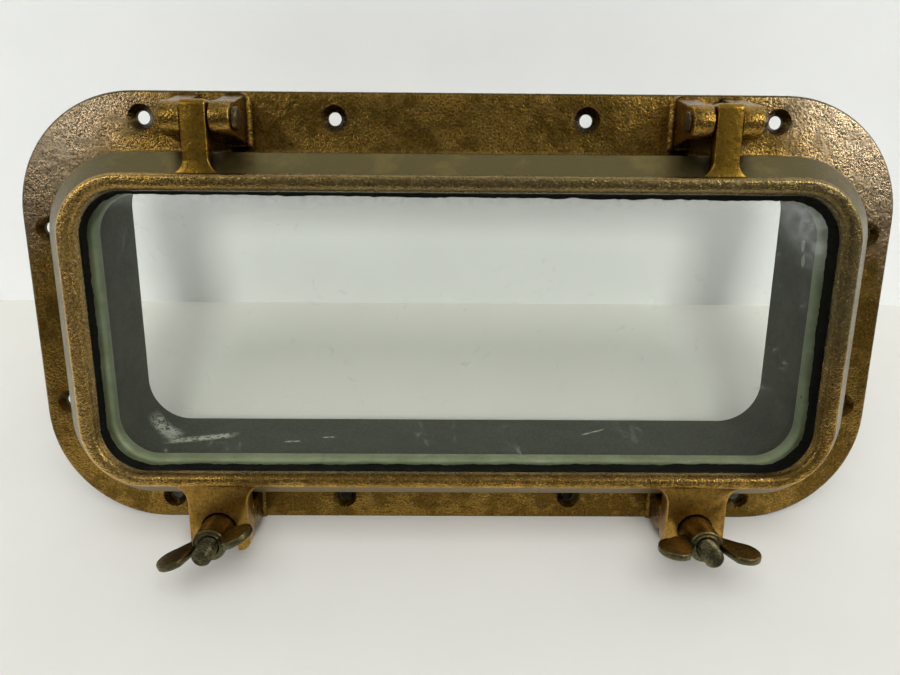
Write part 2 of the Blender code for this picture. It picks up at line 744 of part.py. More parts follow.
def build():
    clear_scene()
    parts = new_collection("opening_porthole")
    tools = new_collection("cutters")
    bronze = make_material("cast_bronze", (0.30, 0.20, 0.07), 0.45, 1.0)
    door_bronze = make_material("door_bronze", (0.33, 0.23, 0.09), 0.40, 1.0)
    dark_bronze = make_material("dark_bronze", (0.12, 0.11, 0.06), 0.5, 1.0)
    brass = make_material("ring_brass", (0.35, 0.33, 0.18), 0.5, 1.0)
    rubber = make_material("gasket_rubber", (0.03, 0.03, 0.03), 0.8, 0.0)
    sealant = make_material("sealant_black", (0.01, 0.01, 0.01), 0.6, 0.0)
    glass = make_material("plate_glass", (0.75, 0.82, 0.76), 0.02, 0.0, alpha=0.3)

    hinge = add_axis_empty("hinge_axis", (0, PIN_Y, PIN_Z), parts)
    build_main_frame(parts, tools, bronze)
    build_main_gasket(parts, rubber)
    build_door_frame(parts, tools, door_bronze, hinge)
    build_glass(parts, glass, hinge)
    build_glass_sealant(parts, sealant, hinge)
    build_retaining_ring(parts, tools, brass, hinge)
    build_ring_screws(parts, tools, brass, hinge)
    for name, side in SIDES.items():
        build_pin(
            f"hinge_pin_{name}", side * HINGE_X, PIN_Y, PIN_Z, PIN_RADIUS, KNUCKLE_OUTER,
            parts, dark_bronze)
        build_flush_pin(
            f"bolt_pin_{name}", side * CLAMP_X, PIVOT_Y, PIVOT_Z, BOLT_PIN_RADIUS, LUG_OUTER,
            parts, dark_bronze)
        pivot = add_axis_empty(f"bolt_axis_{name}", (side * CLAMP_X, PIVOT_Y, PIVOT_Z), parts)
        stud = add_axis_empty(f"stud_axis_{name}", (side * CLAMP_X, HUB_FRONT, PIVOT_Z), parts)
        build_swing_bolt(f"swing_bolt_{name}", side, parts, tools, dark_bronze, pivot)
        build_wing_nut(f"wing_nut_{name}", side, WING_ANGLES[name], parts, tools, dark_bronze, stud)


build()
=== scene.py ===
"""The bronze opening porthole as seen in use: worn castings, bedded glass and threaded swing bolts.

Lengths are in millimetres until a mesh is made. +X is right, +Z is up and the room is toward -Y. The plane
y = 0 is the flange's mounting face. Places across the door's section are insets from its outer outline.
"""

from math import cos, hypot, pi, radians, sin, sqrt, tan

import bmesh
import bpy
from mathutils import Matrix, Vector, noise


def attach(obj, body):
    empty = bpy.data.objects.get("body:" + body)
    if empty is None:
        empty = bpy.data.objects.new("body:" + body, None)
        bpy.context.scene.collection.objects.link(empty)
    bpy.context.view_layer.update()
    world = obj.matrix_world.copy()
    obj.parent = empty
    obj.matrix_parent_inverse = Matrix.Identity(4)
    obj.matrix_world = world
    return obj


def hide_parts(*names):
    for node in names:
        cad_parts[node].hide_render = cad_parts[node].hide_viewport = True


MM = 0.001

# Flange and trunk
FLANGE_HALF = (192.0, 98.3)
FLANGE_RADIUS = 53.0
FLANGE_FRONT = -4.0
FLANGE_ROUND = 1.6
TRUNK_HALF = (168.5, 68.5)
TRUNK_RADIUS = 22.0
TRUNK_WALL = 4.0
TRUNK_REAR = 56.0
LEDGE = -1.0
HOLE_INSET = 11.0
HOLE_X = (54.0, 136.0)
HOLE_Z = 40.0
HOLE_RADIUS = 2.8
SINK_RADIUS = 5.2

# Door
DOOR_HALF = (171.0, 74.8)
DOOR_RADIUS = 35.0
DOOR_Z = -2.0
RING_FRONT = -34.2
RING_EDGE = -31.6
SLOPE_BACK = -21.5
LIP_BACK = -25.0
GLASS_FRONT = -24.0
GLASS_BACK = -16.1
DOOR_BACK = -9.5
COLLAR_FRONT = -8.5
GROOVE_FLOOR = -5.0
GROOVE = (2.0, 6.5)
MOUTH_INSET = 11.0
RING_INSET = 9.0
OPENING_INSET = 15.5
POCKET_INSET = 11.7
RIM_INSET = 6.2
CROWN_ROUNDS = (2.5, 3.6)

# Insets from the door's bottom edge, as a share of those from its other edges
FOOT_SHARE = 0.9

# The ring behind the glass, and the holes of its screws
RING_REACH = 17.2
RING_ROLL = 2.6
SCREW_INSET = 9.1
SCREW_X = (40.0, 120.0)
SCREW_HOLE, SCREW_SEAT = 1.5, 2.9

# Which way the offset of the frame's outline grows toward its neighbour across a flat face
SPREAD = {
    ("flange", "door"): 1, ("door", "flange"): -1,
    ("door", "trunk"): -1, ("trunk", "door"): -1,
    ("trunk", "flange"): 1, ("flange", "trunk"): 1,
}

# Hinges
HINGE_X = 104.7
PIN_Y, PIN_Z = -24.2, 85.5
PIN_RADIUS = 3.1
KNUCKLE = 6.9
EAR_GAP = 5.4
EAR_REACH = 14.0
EAR_TOP, EAR_BOTTOM = 97.3, 75.3
STRAP_HALF = 5.1
STRAP_FRONT, STRAP_BACK = -31.5, -25.5
STRAP_FLARE = 6.5

# Clamps
CLAMP_X = 106.2
PIVOT_Y, PIVOT_Z = -14.0, -90.0
LUG_NOSE = 7.5
LUG_GAP = 5.3
LUG_REACH = 12.5
LUG_TOP, LUG_BOTTOM = -79.3, -97.9
CLAMP_EAR_HALF = 13.2
CLAMP_EAR_FRONT, CLAMP_EAR_BACK = -31.5, -22.5
CLAMP_EAR_BOTTOM = -100.7
CLAMP_EAR_FILLET = 8.0
SLOT_HALF = 5.3
SEAT_DEPTH = -29.0
SEAT_RADIUS = 7.8
STUD_RADIUS = 4.2
STUD_TIP = -56.0
THREAD_PITCH = 25.4 / 16
THREAD_DEPTH = 0.8
EYE_RADIUS = 7.2
EYE_HALF = 4.9
BOLT_PIN_RADIUS = 2.5

# Wing nuts
HUB_RADIUS = 7.35
HUB_BACK, HUB_FRONT = -29.3, -46.0
WING_CENTRE = (14.3, -49.0)
WING_HALF = (7.4, 7.1)
WING_THICKNESS = 3.2
WING_ANGLES = {"left": radians(-18), "right": radians(4)}
WING_BEND = {"left": radians(-8), "right": 0.0}

# Colours that several materials share
OLIVE = (0.25, 0.21, 0.10)
# Painted shade for slopes that face up (also doubled as a stain colour), and a painted reflection of the
# table for slopes that face down
UPPER_SHADE_TONE = (0.115, 0.09, 0.028)
LOWER_REFLECTION = (0.26, 0.20, 0.095)
# A pale grey film on the frame's upper corners: partly dust, partly a painted highlight
DUST_AND_SHEEN_GREY = (0.46, 0.37, 0.25)
# Painted shade on the flange's rounded front edge
RIM_SHADE = (0.075, 0.052, 0.016)
VERDIGRIS_DARK = (0.12, 0.12, 0.065)
# Painted highlight for glints on single grains
PAINTED_GLINT = (0.90, 0.76, 0.52)
# Soot for dark specks and pinholes, also laid as painted shade in corners and on the door's inner lip
SOOT_AND_SHADE = (0.022, 0.016, 0.007)

# Cast bronze: bright metal, patina, depth of the grain, roughness (rubbed, tarnished) and how strongly
# single grains stand out in their colour and painted glints
CASTINGS = {
    "frame": ((0.38, 0.225, 0.045), (0.19, 0.11, 0.018), 0.30, (0.24, 0.30), 1.0),
    "door": ((0.60, 0.36, 0.085), (0.33, 0.195, 0.042), 0.30, (0.21, 0.29), 1.0),
    "strap": ((0.36, 0.205, 0.026), (0.22, 0.125, 0.015), 0.13, (0.26, 0.34), 0.5),
    "ear": ((0.50, 0.29, 0.06), (0.34, 0.19, 0.035), 0.20, (0.28, 0.36), 0.7),
    "pin": ((0.17, 0.125, 0.065), (0.07, 0.055, 0.03), 0.20, (0.40, 0.60), 1.0),
    "nut": ((0.22, 0.15, 0.05), (0.10, 0.075, 0.028), 0.20, (0.26, 0.40), 0.7),
    "bolt": ((0.20, 0.17, 0.085), (0.06, 0.055, 0.028), 0.15, (0.36, 0.55), 0.8),
}

# Sizes of the features on cast bronze, from its broad stains down to its grains and painted glints, and
# how far painted shade reaches into corners
BROAD_STAINS = 38
STAINS = 8
SWELLS = 4.5
SAND = 1.0
SPECKS = 0.8
GLINTS = 0.75
CORNER_SHADE_REACH = 12

# Other surfaces, light and dark
SLOPE_METAL = ((0.36, 0.32, 0.22), (0.24, 0.20, 0.12))
VERDIGRIS = ((0.20, 0.235, 0.13), (0.14, 0.165, 0.085))
TRUNK_OXIDE = ((0.060, 0.063, 0.036), (0.036, 0.039, 0.019))
TRUNK_PALE = (0.10, 0.105, 0.068)
TRUNK_DARK = (0.020, 0.022, 0.011)
TRUNK_FLOOR = (0.022, 0.025, 0.012)
SCRAPED = (0.50, 0.53, 0.42)
FLECKED = (0.42, 0.44, 0.34)
# A painted highlight for the door's left-hand end
LEFT_END_HIGHLIGHT = (0.86, 0.56, 0.18)
RUBBER = ((0.012, 0.012, 0.012), (0.06, 0.058, 0.052))
SEALANT = ((0.002, 0.002, 0.001), (0.016, 0.016, 0.006))
GLASS_TINT = (0.96, 0.985, 0.95)
GLASS_SHADOW = (0.97, 0.98, 0.96)
HAZE = (0.80, 0.82, 0.78)
GRIT = (0.16, 0.15, 0.11)

# Scrapes on the trunk's floor: centre (x, y), half size (along x, across) and slant
SCRAPES = (
    ((-157, 39), (17, 9), -0.8),
    ((-131, 26), (19, 5), 0.3),
    ((-84, 22), (5, 1.2), 0.1),
    ((-66, 28), (4, 1.0), 0.1),
    ((73, 37), (8, 1.0), 0.6),
)

# Pale flecks on the trunk's right-hand wall, as (y, z)
FLECKS = ((28.5, 32.1), (26.7, 24.9))

SIDES = {"left": -1, "right": 1}
ARC_STEPS = 20
FINE = 4

# The camera and the table the porthole leans back on
CAMERA_PLACE = (-6.4, -310.5, 64.1)
CAMERA_TURN = (76.736, -0.429, -0.369)
LENS = 27.49
SENSOR = 36.0
LEAN = radians(23.68)

# Stage, in metres along the tilted table
WALL_DISTANCE = 0.187
STAGE_HALF_WIDTH = 2.4
TABLE_DEPTH = 0.45
WALL_HEIGHT = 0.55
STAGE_COLOURS = {"table": (0.68, 0.67, 0.62), "wall": (0.83, 0.84, 0.82)}

# Soft lamps light the stage and aren't mirrored in the metal, and highlight lamps do only that: place,
# target, size and power
SOFT_LAMPS = {
    "ceiling": ((0.0, -0.9, 0.9), (0, 0, 0), (1.4, 0.9), 11),
    "front": ((0.0, -3.96, 0.48), (0, 0.1, 0), (0.7, 0.6), 82),
}
HIGHLIGHT_LAMPS = {
    "window": ((1.1, -0.8, 0.6), (0, 0, 0), (0.4, 0.4), 6),
    "lamp": ((-1.0, -1.0, 0.6), (0, 0, 0), (0.4, 0.4), 3),
}

# The room that the metal mirrors, from dim toward the camera to bright overhead and a little to the right
ROOM_UP = (0.3, -sin(LEAN), cos(LEAN))
ROOM_RANGE = (0.32, 0.90)
ROOM_DIM = (0.12, 0.12, 0.12)
ROOM_BRIGHT = (0.46, 0.47, 0.48)

# The sealant bead: how far along its fillet each ring of points lies, and pieces in a straight side
BEAD_SHARES = (0.0, 0.15, 0.3, 0.5, 0.7, 0.85, 1.0)
BEAD_PIECES = 160
BEAD_CLIMB = 3.6
BEAD_FOOT = 1.8


# ---------------- curves and outlines

def arc(centre, radius, start, end, steps):
    """Points on an arc between two angles in degrees, both ends included."""
    angles = [radians(start + (end - start) * i / steps) for i in range(steps + 1)]
    return [(centre[0] + radius * cos(a), centre[1] + radius * sin(a)) for a in angles]


def rounded_rectangle(half, radius, centre_z=0.0, steps=ARC_STEPS):
    """Outline points (x, z), counter-clockwise from the right-hand side."""
    points = []
    for quarter, (side, level) in enumerate(((1, 1), (-1, 1), (-1, -1), (1, -1))):
        centre = (side * (half[0] - radius), centre_z + level * (half[1] - radius))
        points += arc(centre, radius, 90 * quarter, 90 * quarter + 90, steps)
    return points


def flange_outline(inset):
    return rounded_rectangle((FLANGE_HALF[0] - inset, FLANGE_HALF[1] - inset), FLANGE_RADIUS - inset)


def trunk_outline(outset):
    return rounded_rectangle((TRUNK_HALF[0] + outset, TRUNK_HALF[1] + outset), TRUNK_RADIUS + outset)


def door_top(inset):
    return DOOR_Z + DOOR_HALF[1] - inset


def door_bottom(inset):
    return DOOR_Z - DOOR_HALF[1] + FOOT_SHARE * inset


def door_outline(inset):
    top, bottom = door_top(inset), door_bottom(inset)
    return rounded_rectangle(
        (DOOR_HALF[0] - inset, (top - bottom) / 2), DOOR_RADIUS - inset, (top + bottom) / 2)


def rounded_path(corners):
    """Rounds the corners of an open path given as (a, b, radius), with a few points on each round."""
    path = []
    for i, (a, b, radius) in enumerate(corners):
        if radius == 0 or i in (0, len(corners) - 1):
            path.append((a, b))
            continue
        before = Vector((corners[i - 1][0] - a, corners[i - 1][1] - b))
        after = Vector((corners[i + 1][0] - a, corners[i + 1][1] - b))
        half_angle = before.angle(after) / 2
        cut = min(radius / tan(half_angle), before.length * 0.49, after.length * 0.49)
        size = cut * tan(half_angle)
        before.normalize()
        after.normalize()
        centre = Vector((a, b)) + (before + after).normalized() * (size / sin(half_angle))
        start = Vector((a, b)) + before * cut - centre
        end = Vector((a, b)) + after * cut - centre
        turn = start.angle_signed(end)
        for step in range(FINE + 1):
            spoke = start.copy()
            spoke.rotate(Matrix.Rotation(-turn * step / FINE, 2))
            path.append(tuple(centre + spoke))
    return path


def closed_path(corners):
    """Rounds every corner of a closed path given as (a, b, radius)."""
    wrapped = [corners[-1]] + corners + [corners[0]]
    path = rounded_path([(a, b, radius) for a, b, radius in wrapped])
    return path[1:-1]


# ---------------- meshes

def add_object(name, data):
    item = bpy.data.objects.new(name, data)
    bpy.context.scene.collection.objects.link(item)
    return item


def smooth(mesh, angle=38):
    """Shades a mesh smooth, apart from edges sharper than an angle in degrees."""
    mesh.shade_smooth()
    mesh.set_sharp_from_angle(angle=radians(angle))


def turned(x, y, z, angle, axis):
    """A place in millimetres, with a turn about one axis."""
    return Matrix.Translation((x, y, z)) @ Matrix.Rotation(angle, 4, axis)


def mesh_object(name, bm, material):
    """Turns a bmesh drawn in millimetres into a smooth-shaded object in metres."""
    bmesh.ops.remove_doubles(bm, verts=bm.verts, dist=0.0005)
    bmesh.ops.recalc_face_normals(bm, faces=bm.faces)
    bmesh.ops.scale(bm, vec=(MM, MM, MM), verts=bm.verts)
    mesh = bpy.data.meshes.new(name)
    bm.to_mesh(mesh)
    bm.free()
    mesh.materials.append(material)
    smooth(mesh)
    return add_object(name, mesh)


def join_rings(bm, rings, closed):
    """Fills between neighbouring rings of vertices, and from the last to the first if closed."""
    count = len(rings[0])
    pairs = list(zip(rings, rings[1:]))
    if closed:
        pairs.append((rings[-1], rings[0]))
    for first, second in pairs:
        for j in range(count):
            bm.faces.new((first[j - 1], first[j], second[j], second[j - 1]))


def join_capped(bm, rings):
    """Fills between neighbouring rings of vertices and closes both ends, and returns the two end faces."""
    join_rings(bm, rings, False)
    return [bm.faces.new(rings[0]), bm.faces.new(rings[-1])]


def draw_rings(bm, sections):
    """A ring of vertices for each (outline, y) pair."""
    return [[bm.verts.new((x, y, z)) for x, z in outline] for outline, y in sections]


def plate_solid(bm, outline, low, high, place, edge):
    """An outline (a, b) extruded from low to high along c with rounded edges, mapped by place(a, b, c)."""
    part = bmesh.new()
    bottom = [part.verts.new((a, b, low)) for a, b in outline]
    top = [part.verts.new((a, b, high)) for a, b in outline]
    caps = join_capped(part, [bottom, top])
    bmesh.ops.recalc_face_normals(part, faces=part.faces)
    rim = list({e for cap in caps for e in cap.edges})
    bmesh.ops.bevel(part, geom=rim, offset=edge, segments=3, profile=0.5, affect="EDGES")
    for vert in part.verts:
        vert.co = place(*vert.co)
    scratch = bpy.data.meshes.new("scratch")
    part.to_mesh(scratch)
    part.free()
    bm.from_mesh(scratch)
    bpy.data.meshes.remove(scratch)


def turned_solid(bm, profile, place, steps=32):
    """A closed profile of (radius, height) turned about the local Z of a place."""
    rings = []
    for i in range(steps):
        angle = 2 * pi * i / steps
        rings.append([
            bm.verts.new(place @ Vector((r * cos(angle), r * sin(angle), h))) for r, h in profile
        ])
    join_rings(bm, rings, True)
    bmesh.ops.remove_doubles(bm, verts=bm.verts, dist=0.0005)


def side_view(a, b, c):
    """Maps an outline drawn as (y, z) and extruded along x."""
    return Vector((c, a, b))


def front_view(a, b, c):
    """Maps an outline drawn as (x, z) and extruded along y."""
    return Vector((a, c, b))


def skirt(bm, x_range, z_range, base, height, outset):
    """A concave fillet around the foot of a lug standing on a face at y = base.

    outset gives how far the fillet spreads at the left, right, bottom and top.
    """
    sections = []
    steps = 6
    for i in range(steps + 1):
        angle = pi / 2 * i / steps
        spread = 1 - sin(angle)
        x0, x1 = x_range[0] - outset[0] * spread, x_range[1] + outset[1] * spread
        z0, z1 = z_range[0] - outset[2] * spread, z_range[1] + outset[3] * spread
        half = ((x1 - x0) / 2, (z1 - z0) / 2)
        outline = rounded_rectangle(half, min(1.2 + 2 * spread, half[0] * 0.9), (z0 + z1) / 2, 5)
        middle = (x0 + x1) / 2
        sections.append(([(x + middle, z) for x, z in outline], base - height * (1 - cos(angle))))
    join_capped(bm, draw_rings(bm, sections))


def cut(item, cutters):
    """Subtracts a bmesh drawn in millimetres from an object and applies the result."""
    tool = mesh_object("cutter", cutters, item.data.materials[0])
    modifier = item.modifiers.new("holes", "BOOLEAN")
    modifier.operation = "DIFFERENCE"
    modifier.solver = "EXACT"
    modifier.object = tool
    evaluated = item.evaluated_get(bpy.context.evaluated_depsgraph_get())
    mesh = bpy.data.meshes.new_from_object(evaluated)
    item.modifiers.clear()
    item.data = mesh
    smooth(mesh)
    bpy.data.objects.remove(tool)


def merge(item, other, slot=0):
    """Adds another object's mesh to an object in one of its material slots, and removes the other."""
    for face in other.data.polygons:
        face.material_index = slot
    bm = bmesh.new()
    bm.from_mesh(item.data)
    bm.from_mesh(other.data)
    bm.to_mesh(item.data)
    bm.free()
    smooth(item.data)
    bpy.data.objects.remove(other)


# ---------------- materials

class Shader:
    """A node tree with short calls for the nodes the materials share."""

    def __init__(self, name):
        self.material = bpy.data.materials.new(name)
        self.material.use_nodes = True
        self.nodes = self.material.node_tree.nodes
        self.links = self.material.node_tree.links
        self.principled = self.nodes["Principled BSDF"]
        self.coordinates = self.add("TexCoord")
        self.place = self.coordinates.outputs["Object"]

    def set_input(self, node, key, value):
        socket = node.inputs[key]
        if isinstance(value, bpy.types.NodeSocket):
            self.links.new(value, socket)
        else:
            socket.default_value = value

    def add(self, kind, **inputs):
        node = self.nodes.new(f"ShaderNode{kind}")
        for key, value in inputs.items():
            self.set_input(node, key, value)
        return node

    def noise(self, size, detail, roughness, distortion=0.0, offset=0.0):
        """Noise with features of about the given size in millimetres, from 0 to 1."""
        node = self.add(
            "TexNoise", Vector=self.place, Scale=1 / (size * MM), Detail=detail, Roughness=roughness,
            Distortion=distortion)
        node.noise_dimensions = "4D"
        self.set_input(node, "W", offset)
        return node.outputs["Fac"]

    def math(self, operation, first, second=0.0, third=0.0):
        node = self.add("Math")
        node.operation = operation
        for index, value in enumerate((first, second, third)):
            self.set_input(node, index, value)
        return node.outputs[0]

    def times(self, first, second):
        return self.math("MULTIPLY", first, second)

    def step(self, value, low, high, to_low=0.0, to_high=1.0):
        """Maps low..high smoothly to to_low..to_high and holds the ends."""
        node = self.add("MapRange")
        node.interpolation_type = "SMOOTHSTEP"
        for index, item in enumerate((value, low, high, to_low, to_high)):
            self.set_input(node, index, item)
        return node.outputs[0]

    def mix(self, factor, first, second):
        """Mixes two colours, each a socket or an (r, g, b)."""
        node = self.add("Mix")
        node.data_type = "RGBA"
        self.set_input(node, 0, factor)
        for index, colour in ((6, first), (7, second)):
            is_socket = isinstance(colour, bpy.types.NodeSocket)
            self.set_input(node, index, colour if is_socket else (*colour, 1))
        return node.outputs[2]

    def axis(self, index):
        """One coordinate of the surface point, in millimetres."""
        node = self.add("SeparateXYZ", Vector=self.place)
        return self.times(node.outputs[index], 1 / MM)

    def facing(self, index):
        """One component of the surface's normal, in the piece's own axes."""
        node = self.add("SeparateXYZ", Vector=self.coordinates.outputs["Normal"])
        return node.outputs[index]

    def crevice(self, distance):
        """1 in open places and 0 in corners closer than the distance in millimetres; used to paint shade
        into corners.
        """
        node = self.add("AmbientOcclusion", Distance=distance * MM)
        node.samples = 8
        node.only_local = True
        return node.outputs["AO"]

    def bump(self, height, depth, before=None):
        """Bumps the surface by a 0 to 1 height times a depth in millimetres."""
        node = self.add("Bump", Height=height, Distance=depth * MM, Strength=1.0)
        if before is not None:
            self.set_input(node, "Normal", before)
        return node.outputs["Normal"]

    def blend(self, factor, first, second):
        """Mixes two surface shaders."""
        node = self.add("MixShader", Fac=factor)
        self.links.new(first, node.inputs[1])
        self.links.new(second, node.inputs[2])
        return node.outputs[0]

    def plain(self, kind, colour):
        """A surface shader of one kind with a single colour."""
        return self.add(kind, Color=(*colour, 1)).outputs[0]

    def show(self, surface):
        self.links.new(surface, self.nodes["Material Output"].inputs["Surface"])

    def finish(self, colour, roughness, metallic, normal=None):
        self.set_input(self.principled, "Base Color", colour)
        self.set_input(self.principled, "Roughness", roughness)
        self.set_input(self.principled, "Metallic", metallic)
        if normal is not None:
            self.set_input(self.principled, "Normal", normal)
        return self.material


def scaled(colour, factor):
    return tuple(c * factor for c in colour)


def bronze(name, bright, deep, grain, rough, rugged, films=()):
    """Sand-cast bronze: rubbed metal on the high grains, brown and olive patina in the hollows, painted
    glints on single grains and painted shade in corners.

    films are (mask function, share, colour) for thin films on parts of the casting, and for painted
    highlights and shade laid the same way.
    """
    shader = Shader(name)
    broad = shader.noise(BROAD_STAINS, 5, 0.6, 0.6)
    patches = shader.noise(STAINS, 6, 0.65, 0.3, 3.0)
    sand = shader.noise(SAND, 3, 0.6, 0.0, 11.0)
    swell = shader.noise(SWELLS, 2, 0.5, 0.0, 17.0)
    specks = shader.noise(SPECKS, 3, 0.6, 0.0, 7.0)
    glints = shader.noise(GLINTS, 2, 0.6, 0.0, 23.0)
    worn = shader.math("ADD", shader.times(broad, 0.5), shader.times(patches, 0.5))
    colour = shader.mix(shader.step(worn, 0.44, 0.56), deep, bright)
    for mask, share, tint in films:
        colour = shader.mix(shader.times(mask(shader, patches), share), colour, tint)
    hollow, crest = scaled(deep, 0.35), scaled(bright, 1.6)
    colour = shader.mix(shader.step(sand, 0.54, 0.36, 0.0, 0.7 * rugged), colour, hollow)
    colour = shader.mix(shader.step(sand, 0.58, 0.72, 0.0, 0.55 * rugged), colour, crest)
    # Painted highlight: glints on single grains
    colour = shader.mix(shader.step(glints, 0.60, 0.74, 0.0, 0.32 * rugged), colour, PAINTED_GLINT)
    colour = shader.mix(shader.step(specks, 0.62, 0.72, 0.0, 0.7), colour, SOOT_AND_SHADE)
    # Painted shade in corners and at the feet of lugs
    colour = shader.mix(shader.step(shader.crevice(CORNER_SHADE_REACH), 0.30, 0.95, 0.85, 0.0), colour, SOOT_AND_SHADE)
    normal = shader.bump(sand, grain, shader.bump(swell, 1.5 * grain))
    return shader.finish(colour, shader.step(worn, 0.62, 0.36, *rough), 1.0, normal)


def upper_right(shader, patches):
    """1 toward the top and the right-hand end, with a ragged border."""
    place = shader.math("MULTIPLY_ADD", shader.axis(0), 0.3, shader.axis(2))
    ragged = shader.math("MULTIPLY_ADD", patches, 60, place)
    return shader.step(ragged, 20, 95)


def highlit_left_end(shader, patches):
    """1 at the left-hand end, with a ragged border, where a painted highlight brightens the door."""
    ragged = shader.math("MULTIPLY_ADD", patches, 30, shader.axis(0))
    return shader.step(ragged, -100, -145)


def dust_and_sheen_corners(shader, patches):
    """1 in the two upper corners, with a ragged border, where a pale grey film is laid that is partly dust
    and partly a painted highlight.
    """
    out = shader.math("ABSOLUTE", shader.axis(0))
    place = shader.math("MULTIPLY_ADD", shader.axis(2), 0.9, out)
    ragged = shader.math("MULTIPLY_ADD", patches, 40, place)
    return shader.step(ragged, 220, 262)


def away_from_sky(shader, patches):
    """1 on faces that do not look up, where hands do not rub."""
    return shader.step(shader.facing(2), 0.55, 0.1)


def shaded_inner_lip(shader, patches):
    """1 where the door's crown turns in toward the glass, which is painted dark as shade."""
    out = [shader.times(shader.facing(i), shader.math("SIGN", shader.axis(i))) for i in (0, 2)]
    return shader.step(shader.math("ADD", *out), -0.15, -0.75)


def shaded_flange_rim(shader, patches):
    """1 on the flange's rounded front edge, which is painted dark as shade in place of the reflection it
    catches.
    """
    turned = shader.step(shader.facing(1), -0.965, -0.80)
    near = shader.step(shader.axis(1), -4.4, -3.9)
    return shader.times(turned, near)


def smooth_band(name, colour, deep):
    """The machined slope round the door: smooth, dulled and paler than the cast faces, painted darker as
    shade where it faces up, brighter as a painted reflection of the table where it faces down, and with
    painted shade in its corners.
    """
    shader = Shader(name)
    broad = shader.noise(22, 5, 0.6, 0.5, 2.0)
    fine = shader.noise(1.2, 3, 0.6, 0.0, 5.0)
    upward = shader.facing(2)
    tone = shader.mix(shader.step(broad, 0.38, 0.62, 0.0, 0.6), colour, deep)
    # Painted shade where the slope faces up, a painted reflection of the table where it faces down
    tone = shader.mix(shader.step(upward, 0.1, 0.6, 0.0, 0.95), tone, UPPER_SHADE_TONE)
    tone = shader.mix(shader.step(upward, -0.1, -0.6, 0.0, 0.95), tone, LOWER_REFLECTION)
    tone = shader.mix(shader.step(broad, 0.50, 0.66, 0.0, 0.5), tone, scaled(UPPER_SHADE_TONE, 2.0))
    tone = shader.mix(shader.step(fine, 0.52, 0.72, 0.0, 0.6), tone, scaled(deep, 0.6))
    # Painted shade in corners
    tone = shader.mix(shader.step(shader.crevice(4), 0.35, 0.85, 0.8, 0.0), tone, SOOT_AND_SHADE)
    return shader.finish(tone, shader.step(fine, 0.3, 0.7, 0.34, 0.46), 0.97, shader.bump(fine, 0.10))


def tarnish(name, light, dark):
    """Bronze dulled to a matt grey-green with small dark pinholes."""
    shader = Shader(name)
    broad = shader.noise(14, 5, 0.6, 0.4)
    fine = shader.noise(1.4, 3, 0.6, 0.0, 5.0)
    colour = shader.mix(shader.step(broad, 0.35, 0.65), dark, light)
    pinholes = shader.step(shader.noise(2.6, 2, 0.5, 0.0, 9.0), 0.70, 0.76, 0.0, 0.6)
    colour = shader.mix(pinholes, colour, SOOT_AND_SHADE)
    return shader.finish(colour, shader.step(fine, 0.3, 0.7, 0.4, 0.55), 0.1, shader.bump(fine, 0.04))


def trunk_inside():
    """Slate-grey oxide in the trunk, mottled, with scrapes on its floor and pale flecks on a wall."""
    shader = Shader("trunk_tarnish")
    broad = shader.noise(18, 5, 0.65, 0.5)
    fine = shader.noise(1.6, 4, 0.7, 0.0, 5.0)
    light, dark = TRUNK_OXIDE
    colour = shader.mix(shader.step(broad, 0.35, 0.65), dark, light)
    colour = shader.mix(shader.step(fine, 0.55, 0.75, 0.0, 0.5), colour, TRUNK_PALE)
    colour = shader.mix(shader.step(fine, 0.45, 0.30, 0.0, 0.6), colour, TRUNK_DARK)
    colour = shader.mix(shader.step(shader.facing(2), 0.3, 0.8, 0.0, 0.55), colour, TRUNK_FLOOR)
    for centre, half, slant in SCRAPES:
        colour = shader.mix(scrape_mask(shader, centre, half, slant), colour, SCRAPED)
    for y, z in FLECKS:
        colour = shader.mix(fleck_mask(shader, y, z), colour, FLECKED)
    shader.set_input(shader.principled, "Specular IOR Level", 0.25)
    return shader.finish(colour, shader.step(fine, 0.3, 0.7, 0.5, 0.7), 0.0, shader.bump(fine, 0.06))


def scrape_mask(shader, centre, half, slant):
    """1 within a broken, slanted streak on the trunk's floor."""
    along = shader.math("SUBTRACT", shader.axis(0), centre[0])
    line = shader.math("MULTIPLY_ADD", along, slant, centre[1])
    across = shader.math("SUBTRACT", shader.axis(1), line)
    reach = shader.step(shader.math("ABSOLUTE", along), half[0], half[0] * 0.5)
    width = shader.step(shader.math("ABSOLUTE", across), half[1], half[1] * 0.3)
    broken = shader.step(shader.noise(4.5, 6, 0.7, 2.0, 8.0), 0.43, 0.51)
    floor = shader.step(shader.axis(2), -60, -66)
    mask = shader.times(shader.times(reach, width), broken)
    return shader.times(mask, floor)


def fleck_mask(shader, y, z):
    """1 within a small ragged spot on the trunk's right-hand wall."""
    along = shader.math("SUBTRACT", shader.axis(1), y)
    up = shader.times(shader.math("SUBTRACT", shader.axis(2), z), 0.6)
    far = shader.math("ADD", shader.times(along, along), shader.times(up, up))
    ragged = shader.math("MULTIPLY_ADD", shader.noise(2.0, 4, 0.7, 0.5, 4.0), 8.0, far)
    wall = shader.step(shader.axis(0), 150, 160, 0.0, 0.85)
    return shader.times(shader.step(ragged, 8.0, 6.0), wall)


def rubber():
    """Black rubber with a film of dust."""
    shader = Shader("gasket_rubber")
    dust = shader.noise(6, 5, 0.6)
    colour = shader.mix(shader.step(dust, 0.45, 0.75), *RUBBER)
    return shader.finish(colour, shader.step(dust, 0.3, 0.7, 0.6, 0.85), 0.0, shader.bump(dust, 0.1))


def sealant():
    """Old black bedding compound, lumpy and matt."""
    shader = Shader("glazing_sealant")
    lumps = shader.noise(1.6, 4, 0.65)
    colour = shader.mix(shader.step(lumps, 0.52, 0.8), *SEALANT)
    shader.set_input(shader.principled, "Specular IOR Level", 0.12)
    return shader.finish(colour, shader.step(lumps, 0.3, 0.7, 0.55, 0.8), 0.0, shader.bump(lumps, 0.4))


